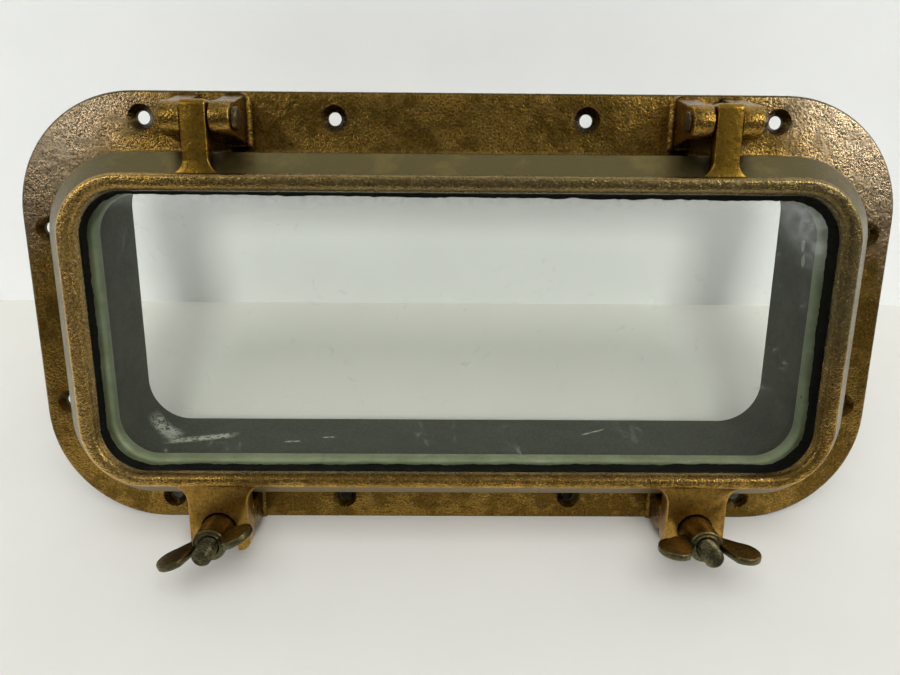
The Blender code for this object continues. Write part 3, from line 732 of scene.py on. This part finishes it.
def glass():
    """Clear plate glass with old haze along its top and in a corner, faint smears and a little dust."""
    shader = Shader("plate_glass")
    smears = shader.noise(60, 5, 0.6, 1.2)
    shader.finish((*GLASS_TINT, 1), shader.step(smears, 0.4, 0.8, 0.0, 0.05), 0.0)
    shader.set_input(shader.principled, "Transmission Weight", 1.0)
    shader.set_input(shader.principled, "IOR", 1.5)
    clear = shader.plain("BsdfTransparent", GLASS_SHADOW)
    path = shader.add("LightPath")
    either = shader.math("MAXIMUM", path.outputs["Is Shadow Ray"], path.outputs["Is Diffuse Ray"])
    pane = shader.blend(either, shader.principled.outputs[0], clear)
    near_top = shader.step(shader.axis(2), 48, 62)
    corner = shader.step(shader.math("ADD", shader.axis(0), shader.axis(2)), 168, 205)
    cloudy = shader.step(shader.noise(6, 5, 0.7, 0.8, 2.0), 0.35, 0.7, 0.05, 0.28)
    haze = shader.times(shader.math("MAXIMUM", near_top, corner), cloudy)
    smudge = shader.step(shader.noise(15, 6, 0.75, 2.2, 6.0), 0.58, 0.72, 0.0, 0.10)
    film = shader.plain("BsdfDiffuse", HAZE)
    hazed = shader.blend(shader.math("MAXIMUM", haze, smudge), pane, film)
    dust = shader.step(shader.noise(1.6, 3, 0.6, 0.0, 13.0), 0.70, 0.76, 0.0, 0.5)
    shader.show(shader.blend(dust, hazed, shader.plain("BsdfDiffuse", GRIT)))
    return shader.material


def make_materials():
    films = {
        # The frame's upper corners get a film that is partly dust and partly a painted highlight, and its
        # rim painted shade
        "frame": [(dust_and_sheen_corners, 0.8, DUST_AND_SHEEN_GREY), (shaded_flange_rim, 0.9, RIM_SHADE)],
        # The door's left-hand end gets a painted highlight and the crown's inner lip painted shade
        "door": [(upper_right, 0.75, OLIVE), (highlit_left_end, 0.7, LEFT_END_HIGHLIGHT), (shaded_inner_lip, 0.55, SOOT_AND_SHADE)],
        "nut": [(away_from_sky, 0.85, VERDIGRIS_DARK)],
    }
    materials = {
        key: bronze(f"{key}_bronze", *recipe, films.get(key, ())) for key, recipe in CASTINGS.items()
    }
    materials["inside"] = trunk_inside()
    materials["slope"] = smooth_band("door_slope", *SLOPE_METAL)
    materials["ring"] = tarnish("ring_verdigris", *VERDIGRIS)
    materials["rubber"] = rubber()
    materials["sealant"] = sealant()
    materials["glass"] = glass()
    return materials


# ---------------- main frame

def nose_outline(centre, radius, root, top, bottom):
    """Side view (y, z) of a lug: a round nose toward the room, its sides running straight to the root."""
    nose = arc(centre, radius, 80, 280, 24)
    return [(root, top)] + nose + [(root, bottom)]


def add_lug(bm, x, outline, gap, reach, z_range, edge, spread):
    """A pair of lugs on the flange with a slot between them, and fillets at their feet."""
    for side in (-1, 1):
        low, high = sorted((x + side * gap, x + side * reach))
        plate_solid(bm, outline, low, high, side_view, edge)
        foot = [spread if end == side else 1.0 for end in (-1, 1)]
        skirt(bm, (low + 0.4, high - 0.4), z_range, FLANGE_FRONT + 0.1, 3.0, (*foot, 1.5, 0.3))


def hole_centres():
    across, up = FLANGE_HALF[0] - HOLE_INSET, FLANGE_HALF[1] - HOLE_INSET
    rows = [(side * x, level * up) for x in HOLE_X for side in (-1, 1) for level in (-1, 1)]
    ends = [(side * across, level * HOLE_Z) for side in (-1, 1) for level in (-1, 1)]
    return rows + ends


def countersink_cutters():
    """Hole tools with a 45 degree mouth and a softened rim."""
    bm = bmesh.new()
    depth = SINK_RADIUS - HOLE_RADIUS
    mouth = [(0, 6), (SINK_RADIUS + 1.4, 6), (SINK_RADIUS + 1.4, 0.3)]
    seat = [(SINK_RADIUS + 0.35, 0), (SINK_RADIUS, -0.35), (HOLE_RADIUS + 0.2, -depth - 0.15)]
    profile = mouth + seat + [(HOLE_RADIUS, -depth - 0.4), (HOLE_RADIUS, -12), (0, -12)]
    for x, z in hole_centres():
        turned_solid(bm, profile, turned(x, FLANGE_FRONT, z, pi / 2, "X"), 36)
    return bm


def build_main_frame(material, inside):
    corners = [
        ("flange", 0.0, 0.0, 0.3), ("flange", 0.0, FLANGE_FRONT, FLANGE_ROUND),
        ("door", 0.4, FLANGE_FRONT, 2.2), ("door", 0.4, COLLAR_FRONT, 0.5),
        ("door", GROOVE[0], COLLAR_FRONT, 0.2), ("door", GROOVE[0], GROOVE_FLOOR, 0.2),
        ("door", GROOVE[1], GROOVE_FLOOR, 0.2), ("door", GROOVE[1], COLLAR_FRONT, 0.2),
        ("door", MOUTH_INSET, COLLAR_FRONT, 0.8), ("door", MOUTH_INSET, LEDGE, 0.8),
        ("trunk", 0.0, LEDGE, 2.0), ("trunk", 0.0, TRUNK_REAR, 0.7),
        ("trunk", TRUNK_WALL, TRUNK_REAR, 0.7), ("trunk", TRUNK_WALL, 0.0, 1.5),
    ]
    outlines = {"flange": flange_outline, "door": door_outline, "trunk": trunk_outline}
    sections = []
    for (family, inset, y, radius), before, after in zip(
            corners, corners[-1:] + corners[:-1], corners[1:] + corners[:1]):
        sections += corner_sections(outlines[family], family, inset, y, radius, before, after)
    bm = bmesh.new()
    join_rings(bm, draw_rings(bm, sections), True)
    item = mesh_object("bronze_frame", bm, material)
    cut(item, countersink_cutters())
    add_lugs(item)
    paint_trunk_inside(item, inside)
    return item


def paint_trunk_inside(item, material):
    """Gives the faces that look in on the opening, from the ledge back, their own material."""
    item.data.materials.append(material)
    for face in item.data.polygons:
        inward = face.normal.x * face.center.x + face.normal.z * face.center.z
        if face.center.y > (LEDGE - 0.5) * MM and inward < -0.3 * hypot(face.center.x, face.center.z):
            face.material_index = 1


def corner_sections(outline, family, inset, y, radius, before, after):
    """The sections that round one corner of the frame's profile."""
    directions = []
    for other in (before, after):
        if other[0] == family and abs(other[1] - inset) > 0.01:
            directions.append((1 if other[1] > inset else -1, 0))
        elif other[0] == family:
            directions.append((0, 1 if other[2] > y else -1))
        else:
            directions.append((SPREAD[(family, other[0])], 0))
    (a1, b1), (a2, b2) = directions
    centre = (inset + radius * (a1 + a2), y + radius * (b1 + b2))
    sections = []
    for i in range(FINE + 1):
        t = pi / 2 * i / FINE
        a = centre[0] - radius * (a2 * cos(t) + a1 * sin(t))
        b = centre[1] - radius * (b2 * cos(t) + b1 * sin(t))
        sections.append((outline(a), b))
    return sections


def add_lugs(item):
    """Joins the hinge ears and clamp lugs to the frame casting."""
    bm = bmesh.new()
    root = FLANGE_FRONT + 2
    ear = nose_outline((PIN_Y, PIN_Z), KNUCKLE, root, EAR_TOP, EAR_BOTTOM)
    lug = nose_outline((PIVOT_Y, PIVOT_Z), LUG_NOSE, root, LUG_TOP, LUG_BOTTOM)
    for side in SIDES.values():
        add_lug(bm, side * HINGE_X, ear, EAR_GAP, EAR_REACH, (EAR_BOTTOM, EAR_TOP), 0.9, 3.2)
        add_lug(bm, side * CLAMP_X, lug, LUG_GAP, LUG_REACH, (LUG_BOTTOM, LUG_TOP), 0.9, 2.5)
    merge(item, mesh_object("lugs", bm, item.data.materials[0]))


# ---------------- door

def door_ring(corners):
    """A closed ring that follows the door's outline, its section given as (inset, y, corner radius)."""
    bm = bmesh.new()
    sections = [(door_outline(inset), y) for inset, y in closed_path(corners)]
    join_rings(bm, draw_rings(bm, sections), True)
    return bm


def paint_slope(item, material):
    """Gives the outward slope between the door's side and its crown its own material."""
    item.data.materials.append(material)
    for face in item.data.polygons:
        outward = face.normal.x * face.center.x + face.normal.z * (face.center.z - DOOR_Z * MM)
        within = RING_EDGE - 0.2 < face.center.y / MM < SLOPE_BACK
        if within and outward > 0 and -0.9 < face.normal.y < -0.3:
            face.material_index = 1


def build_door_frame(material, slope, strap_material, ear_material):
    corners = [
        (0.0, DOOR_BACK, 0.6), (0.0, SLOPE_BACK, 3.0), (RING_INSET - 0.6, RING_EDGE, 0.5),
        (RING_INSET + 0.2, RING_FRONT, CROWN_ROUNDS[0]), (OPENING_INSET, RING_FRONT, CROWN_ROUNDS[1]),
        (OPENING_INSET, LIP_BACK, 0.2), (POCKET_INSET, LIP_BACK, 0.3), (POCKET_INSET, GLASS_BACK, 0.3),
        (RIM_INSET, GLASS_BACK, 0.3), (RIM_INSET, DOOR_BACK, 0.6),
    ]
    item = mesh_object("bronze_door", door_ring(corners), material)
    paint_slope(item, slope)
    item.data.materials.append(strap_material)
    item.data.materials.append(ear_material)
    for side in SIDES.values():
        bm = bmesh.new()
        add_strap(bm, side * HINGE_X)
        merge(item, mesh_object("strap", bm, strap_material), 2)
        bm = bmesh.new()
        add_clamp_ear(bm, side * CLAMP_X)
        ear = mesh_object("clamp_ear", bm, ear_material)
        cut(ear, round_seat_cutter(side * CLAMP_X))
        cut(ear, swept_seat_cutter(side * CLAMP_X))
        merge(item, ear, 3)
    return item


def add_strap(bm, x):
    """A flat strap, flared where it leaves the ring, that thickens into a round-backed hinge eye."""
    top = PIN_Z + KNUCKLE
    foot = door_top(RING_INSET) - 1.5
    flare, crown, corner = STRAP_FLARE, 2.2, 1.3
    flare_levels = [foot + 1.5 + flare * (1 - cos(pi / 2 * i / 10)) for i in range(11)]
    eye_levels = [PIN_Z - KNUCKLE * cos(pi * i / 40) for i in range(41)]
    levels = [foot] + flare_levels + [PIN_Z - KNUCKLE - 0.8] + eye_levels
    rings = []
    for z in levels:
        rise = min(max(z - foot - 1.5, 0.0), flare)
        half = STRAP_HALF + flare - sqrt(flare ** 2 - (flare - rise) ** 2)
        half -= round_off(top - z, corner)
        front = STRAP_FRONT + round_off(top - z, crown)
        back = STRAP_BACK
        drop = KNUCKLE ** 2 - (z - PIN_Z) ** 2
        if drop > 0 or z > PIN_Z:
            back = PIN_Y + sqrt(max(drop, 0.0))
        outline = rounded_rectangle((half, (back - front) / 2), 0.7, 0.0, 3)
        rings.append([bm.verts.new((x + a, (front + back) / 2 + b, z)) for a, b in outline])
    join_capped(bm, rings)


def round_off(distance, radius):
    """How far a rounded edge falls back at a distance from its end."""
    short = max(radius - distance, 0.0)
    return radius - sqrt(max(radius ** 2 - short ** 2, 0.0))


def add_clamp_ear(bm, x):
    """A slotted ear below the ring, filleted into it on both sides."""
    root = door_bottom(RING_INSET) - 0.6
    fillet = CLAMP_EAR_FILLET
    reach = CLAMP_EAR_HALF + fillet
    corner, tip = 4.5, 2.0
    low = CLAMP_EAR_BOTTOM
    outline = [(x - reach, root + 3)] + arc((x - reach, root - fillet), fillet, 90, 0, 10)
    outline += arc((x - CLAMP_EAR_HALF + corner, low + corner), corner, 180, 270, 8)
    outline += arc((x - SLOT_HALF - tip, low + tip), tip, -90, 0, 5)
    outline += arc((x, PIVOT_Z + 0.3), SLOT_HALF, 180, 0, 20)
    outline += arc((x + SLOT_HALF + tip, low + tip), tip, 180, 270, 5)
    outline += arc((x + CLAMP_EAR_HALF - corner, low + corner), corner, -90, 0, 8)
    outline += arc((x + reach, root - fillet), fillet, 180, 90, 10) + [(x + reach, root + 3)]
    plate_solid(bm, outline, CLAMP_EAR_FRONT, CLAMP_EAR_BACK, front_view, 0.8)


def round_seat_cutter(x):
    """The counterbore a nut sits in."""
    depth = SEAT_DEPTH - CLAMP_EAR_FRONT
    profile = [(0, 4), (SEAT_RADIUS + 0.5, 4), (SEAT_RADIUS + 0.5, 0.2), (SEAT_RADIUS, -0.4)]
    profile += [(SEAT_RADIUS, -depth), (0, -depth)]
    bm = bmesh.new()
    turned_solid(bm, profile, turned(x, CLAMP_EAR_FRONT, PIVOT_Z, pi / 2, "X"), 40)
    return bm


def swept_seat_cutter(x):
    """The seat's run-out below the counterbore, curved about the bolt's pivot."""
    sweep = arc((PIVOT_Y, PIVOT_Z), PIVOT_Y - SEAT_DEPTH, 180, 232, 12)
    front = CLAMP_EAR_FRONT - 4
    outline = sweep + [(front, sweep[-1][1]), (front, PIVOT_Z)]
    bm = bmesh.new()
    plate_solid(bm, outline, x - SEAT_RADIUS + 0.01, x + SEAT_RADIUS - 0.01, side_view, 0.05)
    return bm


def build_sealant(material):
    """The hand-run bead: bedding behind the lip and a ragged fillet on the glass.

    The bead is widest at the top right and climbs highest up the lip at the bottom.
    """
    base = [(POCKET_INSET + 0.6, GLASS_FRONT - 0.1), (POCKET_INSET + 0.6, LIP_BACK + 0.1),
            (OPENING_INSET + 0.1, LIP_BACK + 0.1)]
    bm = bmesh.new()
    rings = [[bm.verts.new((x, y, z)) for x, z in dense_outline(inset)] for inset, y in base]
    for share in BEAD_SHARES:
        ring = []
        for x, z in dense_outline(OPENING_INSET):
            across, up = x / DOOR_HALF[0], (z - DOOR_Z) / DOOR_HALF[1]
            climb = BEAD_CLIMB + 3.2 * max(-up, 0) ** 3
            foot = BEAD_FOOT + 0.6 * across + (0.1 if up > 0 else 0.9) * up
            ragged = noise.noise((x / 7, z / 7, 1.5)) + 0.8 * noise.noise((x / 1.9, z / 1.9, 4.5))
            width = 0.1 + (foot + 0.45 * ragged) * share ** 1.6
            height = climb * (1 - share) ** 1.4 + 0.35 * ragged * (1 - share) * share * 4
            spot = Vector((x, z)) + inward_direction(x, z) * width
            ring.append(bm.verts.new((spot.x, GLASS_FRONT - 0.1 - max(height, 0.0), spot.y)))
        rings.append(ring)
    join_rings(bm, rings, True)
    return mesh_object("sealant_bead", bm, material)


def inward_direction(x, z):
    """The unit vector in (x, z) pointing into the door's opening from a point on its rounded outline."""
    radius = DOOR_RADIUS - OPENING_INSET
    side = DOOR_HALF[0] - DOOR_RADIUS
    low, high = door_bottom(OPENING_INSET) + radius, door_top(OPENING_INSET) - radius
    nearest = Vector((min(max(x, -side), side), min(max(z, low), high)))
    return (nearest - Vector((x, z))).normalized()


def dense_outline(inset):
    """The door's outline at an inset, with the straight sides cut into equal short pieces."""
    points = []
    outline = door_outline(inset)
    for (x0, z0), (x1, z1) in zip(outline, outline[1:] + outline[:1]):
        pieces = BEAD_PIECES if hypot(x1 - x0, z1 - z0) > 20 else 2
        points += [(x0 + (x1 - x0) * i / pieces, z0 + (z1 - z0) * i / pieces) for i in range(pieces)]
    return points


def build_retaining_ring(material):
    """The ring behind the glass, its inner front edge rolled over like a bead."""
    front, back = GLASS_BACK + 0.3, DOOR_BACK - 0.3
    corners = [
        (RIM_INSET + 0.3, back, 0.4), (RIM_INSET + 0.3, front, 0.4),
        (RING_REACH, front, RING_ROLL), (RING_REACH, back, 1.0),
    ]
    item = mesh_object("verdigris_ring", door_ring(corners), material)
    cut(item, ring_screw_cutters(back))
    return item


def ring_screw_cutters(back):
    """Screw holes with a 45 degree seat on the ring's rear face."""
    bm = bmesh.new()
    seat, depth = SCREW_SEAT, SCREW_SEAT - SCREW_HOLE
    profile = [(0, 2), (seat + 2.1, 2), (seat, 0), (SCREW_HOLE, -depth), (SCREW_HOLE, -12), (0, -12)]
    across = DOOR_HALF[0] - SCREW_INSET
    levels = (door_top(SCREW_INSET), door_bottom(SCREW_INSET))
    centres = [(side * x, z) for x in SCREW_X for side in (-1, 1) for z in levels]
    for x, z in centres + [(-across, DOOR_Z), (across, DOOR_Z)]:
        turned_solid(bm, profile, turned(x, back, z, -pi / 2, "X"), 24)
    return bm


# ---------------- pins, bolts and nuts

def riveted_profile(radius, half_length):
    """A pin with a thick head on its right-hand side and a peened end on the other."""
    head, peened = radius * 1.5, radius * 1.3
    grip = half_length + 0.2
    return rounded_path([
        (0, grip + 2.2, 0), (head, grip + 2.0, 1.1), (head, grip, 0), (radius, grip, 0),
        (radius, -grip, 0), (peened, -grip, 0), (peened, -grip - 0.8, 0.5), (0, -grip - 0.9, 0),
    ])


def flush_profile(radius, half_length):
    """A plain pin, its ends dressed almost flush with the lugs."""
    crown = half_length + 0.25
    return rounded_path([
        (0, crown, 0), (radius, half_length, 0.5), (radius, -half_length, 0.5), (0, -crown, 0),
    ])


def build_pin(name, x, y, z, profile, material):
    bm = bmesh.new()
    turned_solid(bm, profile, turned(x, y, z, pi / 2, "Y"))
    return mesh_object(name, bm, material)


def threaded_stud(bm, x, start, tip):
    """A threaded stud toward the room: the radius follows the thread's helix, with a chamfered tip."""
    around, per_pitch = 40, 8
    length = start - tip
    rows = int(length / THREAD_PITCH * per_pitch)
    rings = []
    for row in range(rows + 1):
        along = length * row / rows
        ring = []
        for i in range(around):
            turn = i / around
            phase = (along / THREAD_PITCH - turn) % 1.0
            ridge = 1 - abs(2 * phase - 1)
            crest = min(max((ridge - 0.12) / 0.7, 0.0), 1.0)
            limit = STUD_RADIUS - max(0.0, 1.3 - (length - along))
            radius = min(STUD_RADIUS - THREAD_DEPTH + THREAD_DEPTH * crest, limit)
            angle = 2 * pi * turn
            spot = (x + radius * cos(angle), start - along, PIVOT_Z + radius * sin(angle))
            ring.append(bm.verts.new(spot))
        rings.append(ring)
    join_capped(bm, rings)


def build_swing_bolt(name, side, material):
    """An eye bolt: a turned eye on the pivot pin and a threaded stud."""
    x = side * CLAMP_X
    bm = bmesh.new()
    bore = BOLT_PIN_RADIUS + 0.3
    profile = closed_path([
        (bore, EYE_HALF, 0.3), (EYE_RADIUS, EYE_HALF, 1.0),
        (EYE_RADIUS, -EYE_HALF, 1.0), (bore, -EYE_HALF, 0.3),
    ])
    turned_solid(bm, profile, turned(x, PIVOT_Y, PIVOT_Z, pi / 2, "Y"))
    threaded_stud(bm, x, PIVOT_Y - 5.5, STUD_TIP)
    return mesh_object(name, bm, material)


def wing_outline(side):
    """Plan view (radius, y) of one wing: an oval paddle on a neck that grows out of the hub."""
    (centre, level), (half, rise) = WING_CENTRE, WING_HALF
    paddle = [(centre + half * a, level + rise * b) for a, b in arc((0, 0), 1, -128, 80, 28)]
    root = HUB_RADIUS - 1.5
    outline = [(root, HUB_FRONT + 0.3)] + paddle + [(root, HUB_FRONT + 9.5)]
    return [(side * a, b) for a, b in outline]


def build_wing_nut(name, side, material):
    """A round hub with a domed mouth and two flat oval wings that sweep toward the room.

    The left nut's right-hand wing has been bent out of line with the other.
    """
    hand = name.split("_")[-1]
    turn = turned(side * CLAMP_X, 0, PIVOT_Z, WING_ANGLES[hand], "Y")
    bore = STUD_RADIUS + 0.3
    profile = closed_path([
        (bore, -HUB_FRONT + 0.4, 0.2), (bore + 1.0, -HUB_FRONT + 0.3, 0.3),
        (bore + 1.3, -HUB_FRONT - 0.2, 0.2), (HUB_RADIUS, -HUB_FRONT - 0.5, 0.9),
        (HUB_RADIUS + 0.1, -HUB_BACK, 0.8), (bore, -HUB_BACK, 0.3),
    ])
    bm = bmesh.new()
    turned_solid(bm, profile, turn @ Matrix.Rotation(pi / 2, 4, "X"), 40)
    half = WING_THICKNESS / 2
    for wing in (-1, 1):
        bend = Matrix.Rotation(WING_BEND[hand] if wing == 1 else 0.0, 4, "Y")
        place = turn @ bend
        plate_solid(bm, wing_outline(wing), -half, half, lambda a, b, c: place @ Vector((a, b, c)), 0.8)
    return mesh_object(name, bm, material)


# ---------------- stage

def stage_material(name, colour):
    """Matt pale paint with faint mottling, seen only from its front."""
    shader = Shader(name)
    mottle = shader.noise(70, 5, 0.6)
    shader.finish(shader.mix(shader.step(mottle, 0.3, 0.7), scaled(colour, 0.97), colour), 0.6, 0.0)
    clear = shader.plain("BsdfTransparent", (1, 1, 1))
    geometry = shader.add("NewGeometry")
    shader.show(shader.blend(geometry.outputs["Backfacing"], shader.principled.outputs[0], clear))
    return shader.material


def build_stage():
    """A table the porthole rests on by its flange's bottom edge and its trunk's rear edge, and a wall."""
    base = Vector((0, FLANGE_FRONT, -FLANGE_HALF[1])) * MM
    tilted = Matrix.Translation(base) @ Matrix.Rotation(LEAN, 4, "X")
    left, right = -STAGE_HALF_WIDTH, STAGE_HALF_WIDTH
    foot = [(left, WALL_DISTANCE, 0), (right, WALL_DISTANCE, 0)]
    shapes = {
        "table": [(left, -TABLE_DEPTH, 0), (right, -TABLE_DEPTH, 0), foot[1], foot[0]],
        "wall": foot + [(right, WALL_DISTANCE, WALL_HEIGHT), (left, WALL_DISTANCE, WALL_HEIGHT)],
    }
    for name, corners in shapes.items():
        mesh = bpy.data.meshes.new(name)
        mesh.from_pydata([tilted @ Vector(c) for c in corners], [], [(0, 1, 2, 3)])
        mesh.materials.append(stage_material(name, STAGE_COLOURS[name]))
        add_object(name, mesh)


def add_area_light(name, place, target, size, power):
    """A soft rectangular lamp aimed at a point."""
    data = bpy.data.lights.new(name, "AREA")
    data.shape = "RECTANGLE"
    data.size, data.size_y = size
    data.energy = power
    lamp = add_object(name, data)
    lamp.location = place
    aim = Vector(target) - Vector(place)
    lamp.rotation_euler = aim.to_track_quat("-Z", "Y").to_euler()
    return lamp


def build_room():
    """The room as the metal mirrors it, as a background that brightens smoothly with height."""
    world = bpy.data.worlds.new("room")
    world.use_nodes = True
    nodes, links = world.node_tree.nodes, world.node_tree.links
    direction = nodes.new("ShaderNodeTexCoord").outputs["Generated"]
    up = nodes.new("ShaderNodeVectorMath")
    up.operation = "DOT_PRODUCT"
    links.new(direction, up.inputs[0])
    up.inputs[1].default_value = ROOM_UP
    sky = nodes.new("ShaderNodeMapRange")
    sky.interpolation_type = "SMOOTHSTEP"
    links.new(up.outputs["Value"], sky.inputs["Value"])
    sky.inputs["From Min"].default_value = ROOM_RANGE[0]
    sky.inputs["From Max"].default_value = ROOM_RANGE[1]
    blend = nodes.new("ShaderNodeMix")
    blend.data_type = "RGBA"
    links.new(sky.outputs[0], blend.inputs[0])
    blend.inputs[6].default_value = (*ROOM_DIM, 1)
    blend.inputs[7].default_value = (*ROOM_BRIGHT, 1)
    links.new(blend.outputs[2], nodes["Background"].inputs["Color"])
    bpy.context.scene.world = world


def build_lights():
    build_room()
    for name, lamp in SOFT_LAMPS.items():
        soft = add_area_light(name, *lamp)
        soft.visible_glossy = False
        soft.visible_transmission = False
    for name, lamp in HIGHLIGHT_LAMPS.items():
        add_area_light(name, *lamp).visible_diffuse = False
    bpy.context.scene.view_settings.view_transform = "Standard"


def build_camera():
    data = bpy.data.cameras.new("camera")
    data.lens = LENS
    data.sensor_width = SENSOR
    data.clip_start = 0.01
    camera = add_object("camera", data)
    camera.location = Vector(CAMERA_PLACE) * MM
    camera.rotation_euler = [radians(a) for a in CAMERA_TURN]
    bpy.context.scene.camera = camera


# ---------------- assembly

def show(item, node, body):
    """Shows a piece in place of a CAD node, moving with its body."""
    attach(item, body)
    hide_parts(node)


def finish_node(node, material, edge):
    """Gives a CAD node its material and softened edges."""
    node.data.materials.clear()
    node.data.materials.append(material)
    if edge:
        bevel = node.modifiers.new("soft edges", "BEVEL")
        bevel.width = edge * MM
        bevel.segments = 2
        bevel.limit_method = "ANGLE"
        bevel.angle_limit = radians(40)
    smooth(node.data, 40)


def build_castings(materials):
    show(build_main_frame(materials["frame"], materials["inside"]), "main_frame", "frame")
    bronzes = [materials[key] for key in ("door", "slope", "strap", "ear")]
    show(build_door_frame(*bronzes), "door_frame", "door")
    show(build_sealant(materials["sealant"]), "glass_sealant", "door")
    show(build_retaining_ring(materials["ring"]), "glass_retaining_ring", "door")


def build_fittings(materials, name, side):
    """The pins, bolt and nut of one side."""
    hinge = build_pin(
        f"riveted_hinge_pin_{name}", side * HINGE_X, PIN_Y, PIN_Z,
        riveted_profile(PIN_RADIUS, EAR_REACH), materials["pin"])
    show(hinge, f"hinge_pin_{name}", "frame")
    pivot = build_pin(
        f"flush_bolt_pin_{name}", side * CLAMP_X, PIVOT_Y, PIVOT_Z,
        flush_profile(BOLT_PIN_RADIUS, LUG_REACH), materials["pin"])
    show(pivot, f"bolt_pin_{name}", "frame")
    bolt = build_swing_bolt(f"threaded_bolt_{name}", side, materials["bolt"])
    show(bolt, f"swing_bolt_{name}", f"bolt_{name}")
    nut = build_wing_nut(f"nut_{name}", side, materials["nut"])
    show(nut, f"wing_nut_{name}", f"nut_{name}")


def finish_cad_nodes(nodes, materials):
    """The gasket, the pane and the ring's screws are shown as the CAD has them."""
    finish_node(nodes["main_gasket"], materials["rubber"], 0.4)
    finish_node(nodes["glass_pane"], materials["glass"], 0)
    for name in nodes:
        if name.startswith("ring_screw"):
            finish_node(nodes[name], materials["ring"], 0)


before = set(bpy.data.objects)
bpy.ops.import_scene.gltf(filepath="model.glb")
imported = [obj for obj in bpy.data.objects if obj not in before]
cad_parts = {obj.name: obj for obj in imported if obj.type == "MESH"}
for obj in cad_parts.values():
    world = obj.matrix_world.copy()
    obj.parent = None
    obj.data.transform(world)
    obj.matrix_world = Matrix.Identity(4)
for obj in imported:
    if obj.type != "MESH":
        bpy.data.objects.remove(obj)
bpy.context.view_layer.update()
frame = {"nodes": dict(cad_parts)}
paints = make_materials()
build_castings(paints)
for hand, direction in SIDES.items():
    build_fittings(paints, hand, direction)
finish_cad_nodes(frame["nodes"], paints)
build_stage()
build_lights()
build_camera()
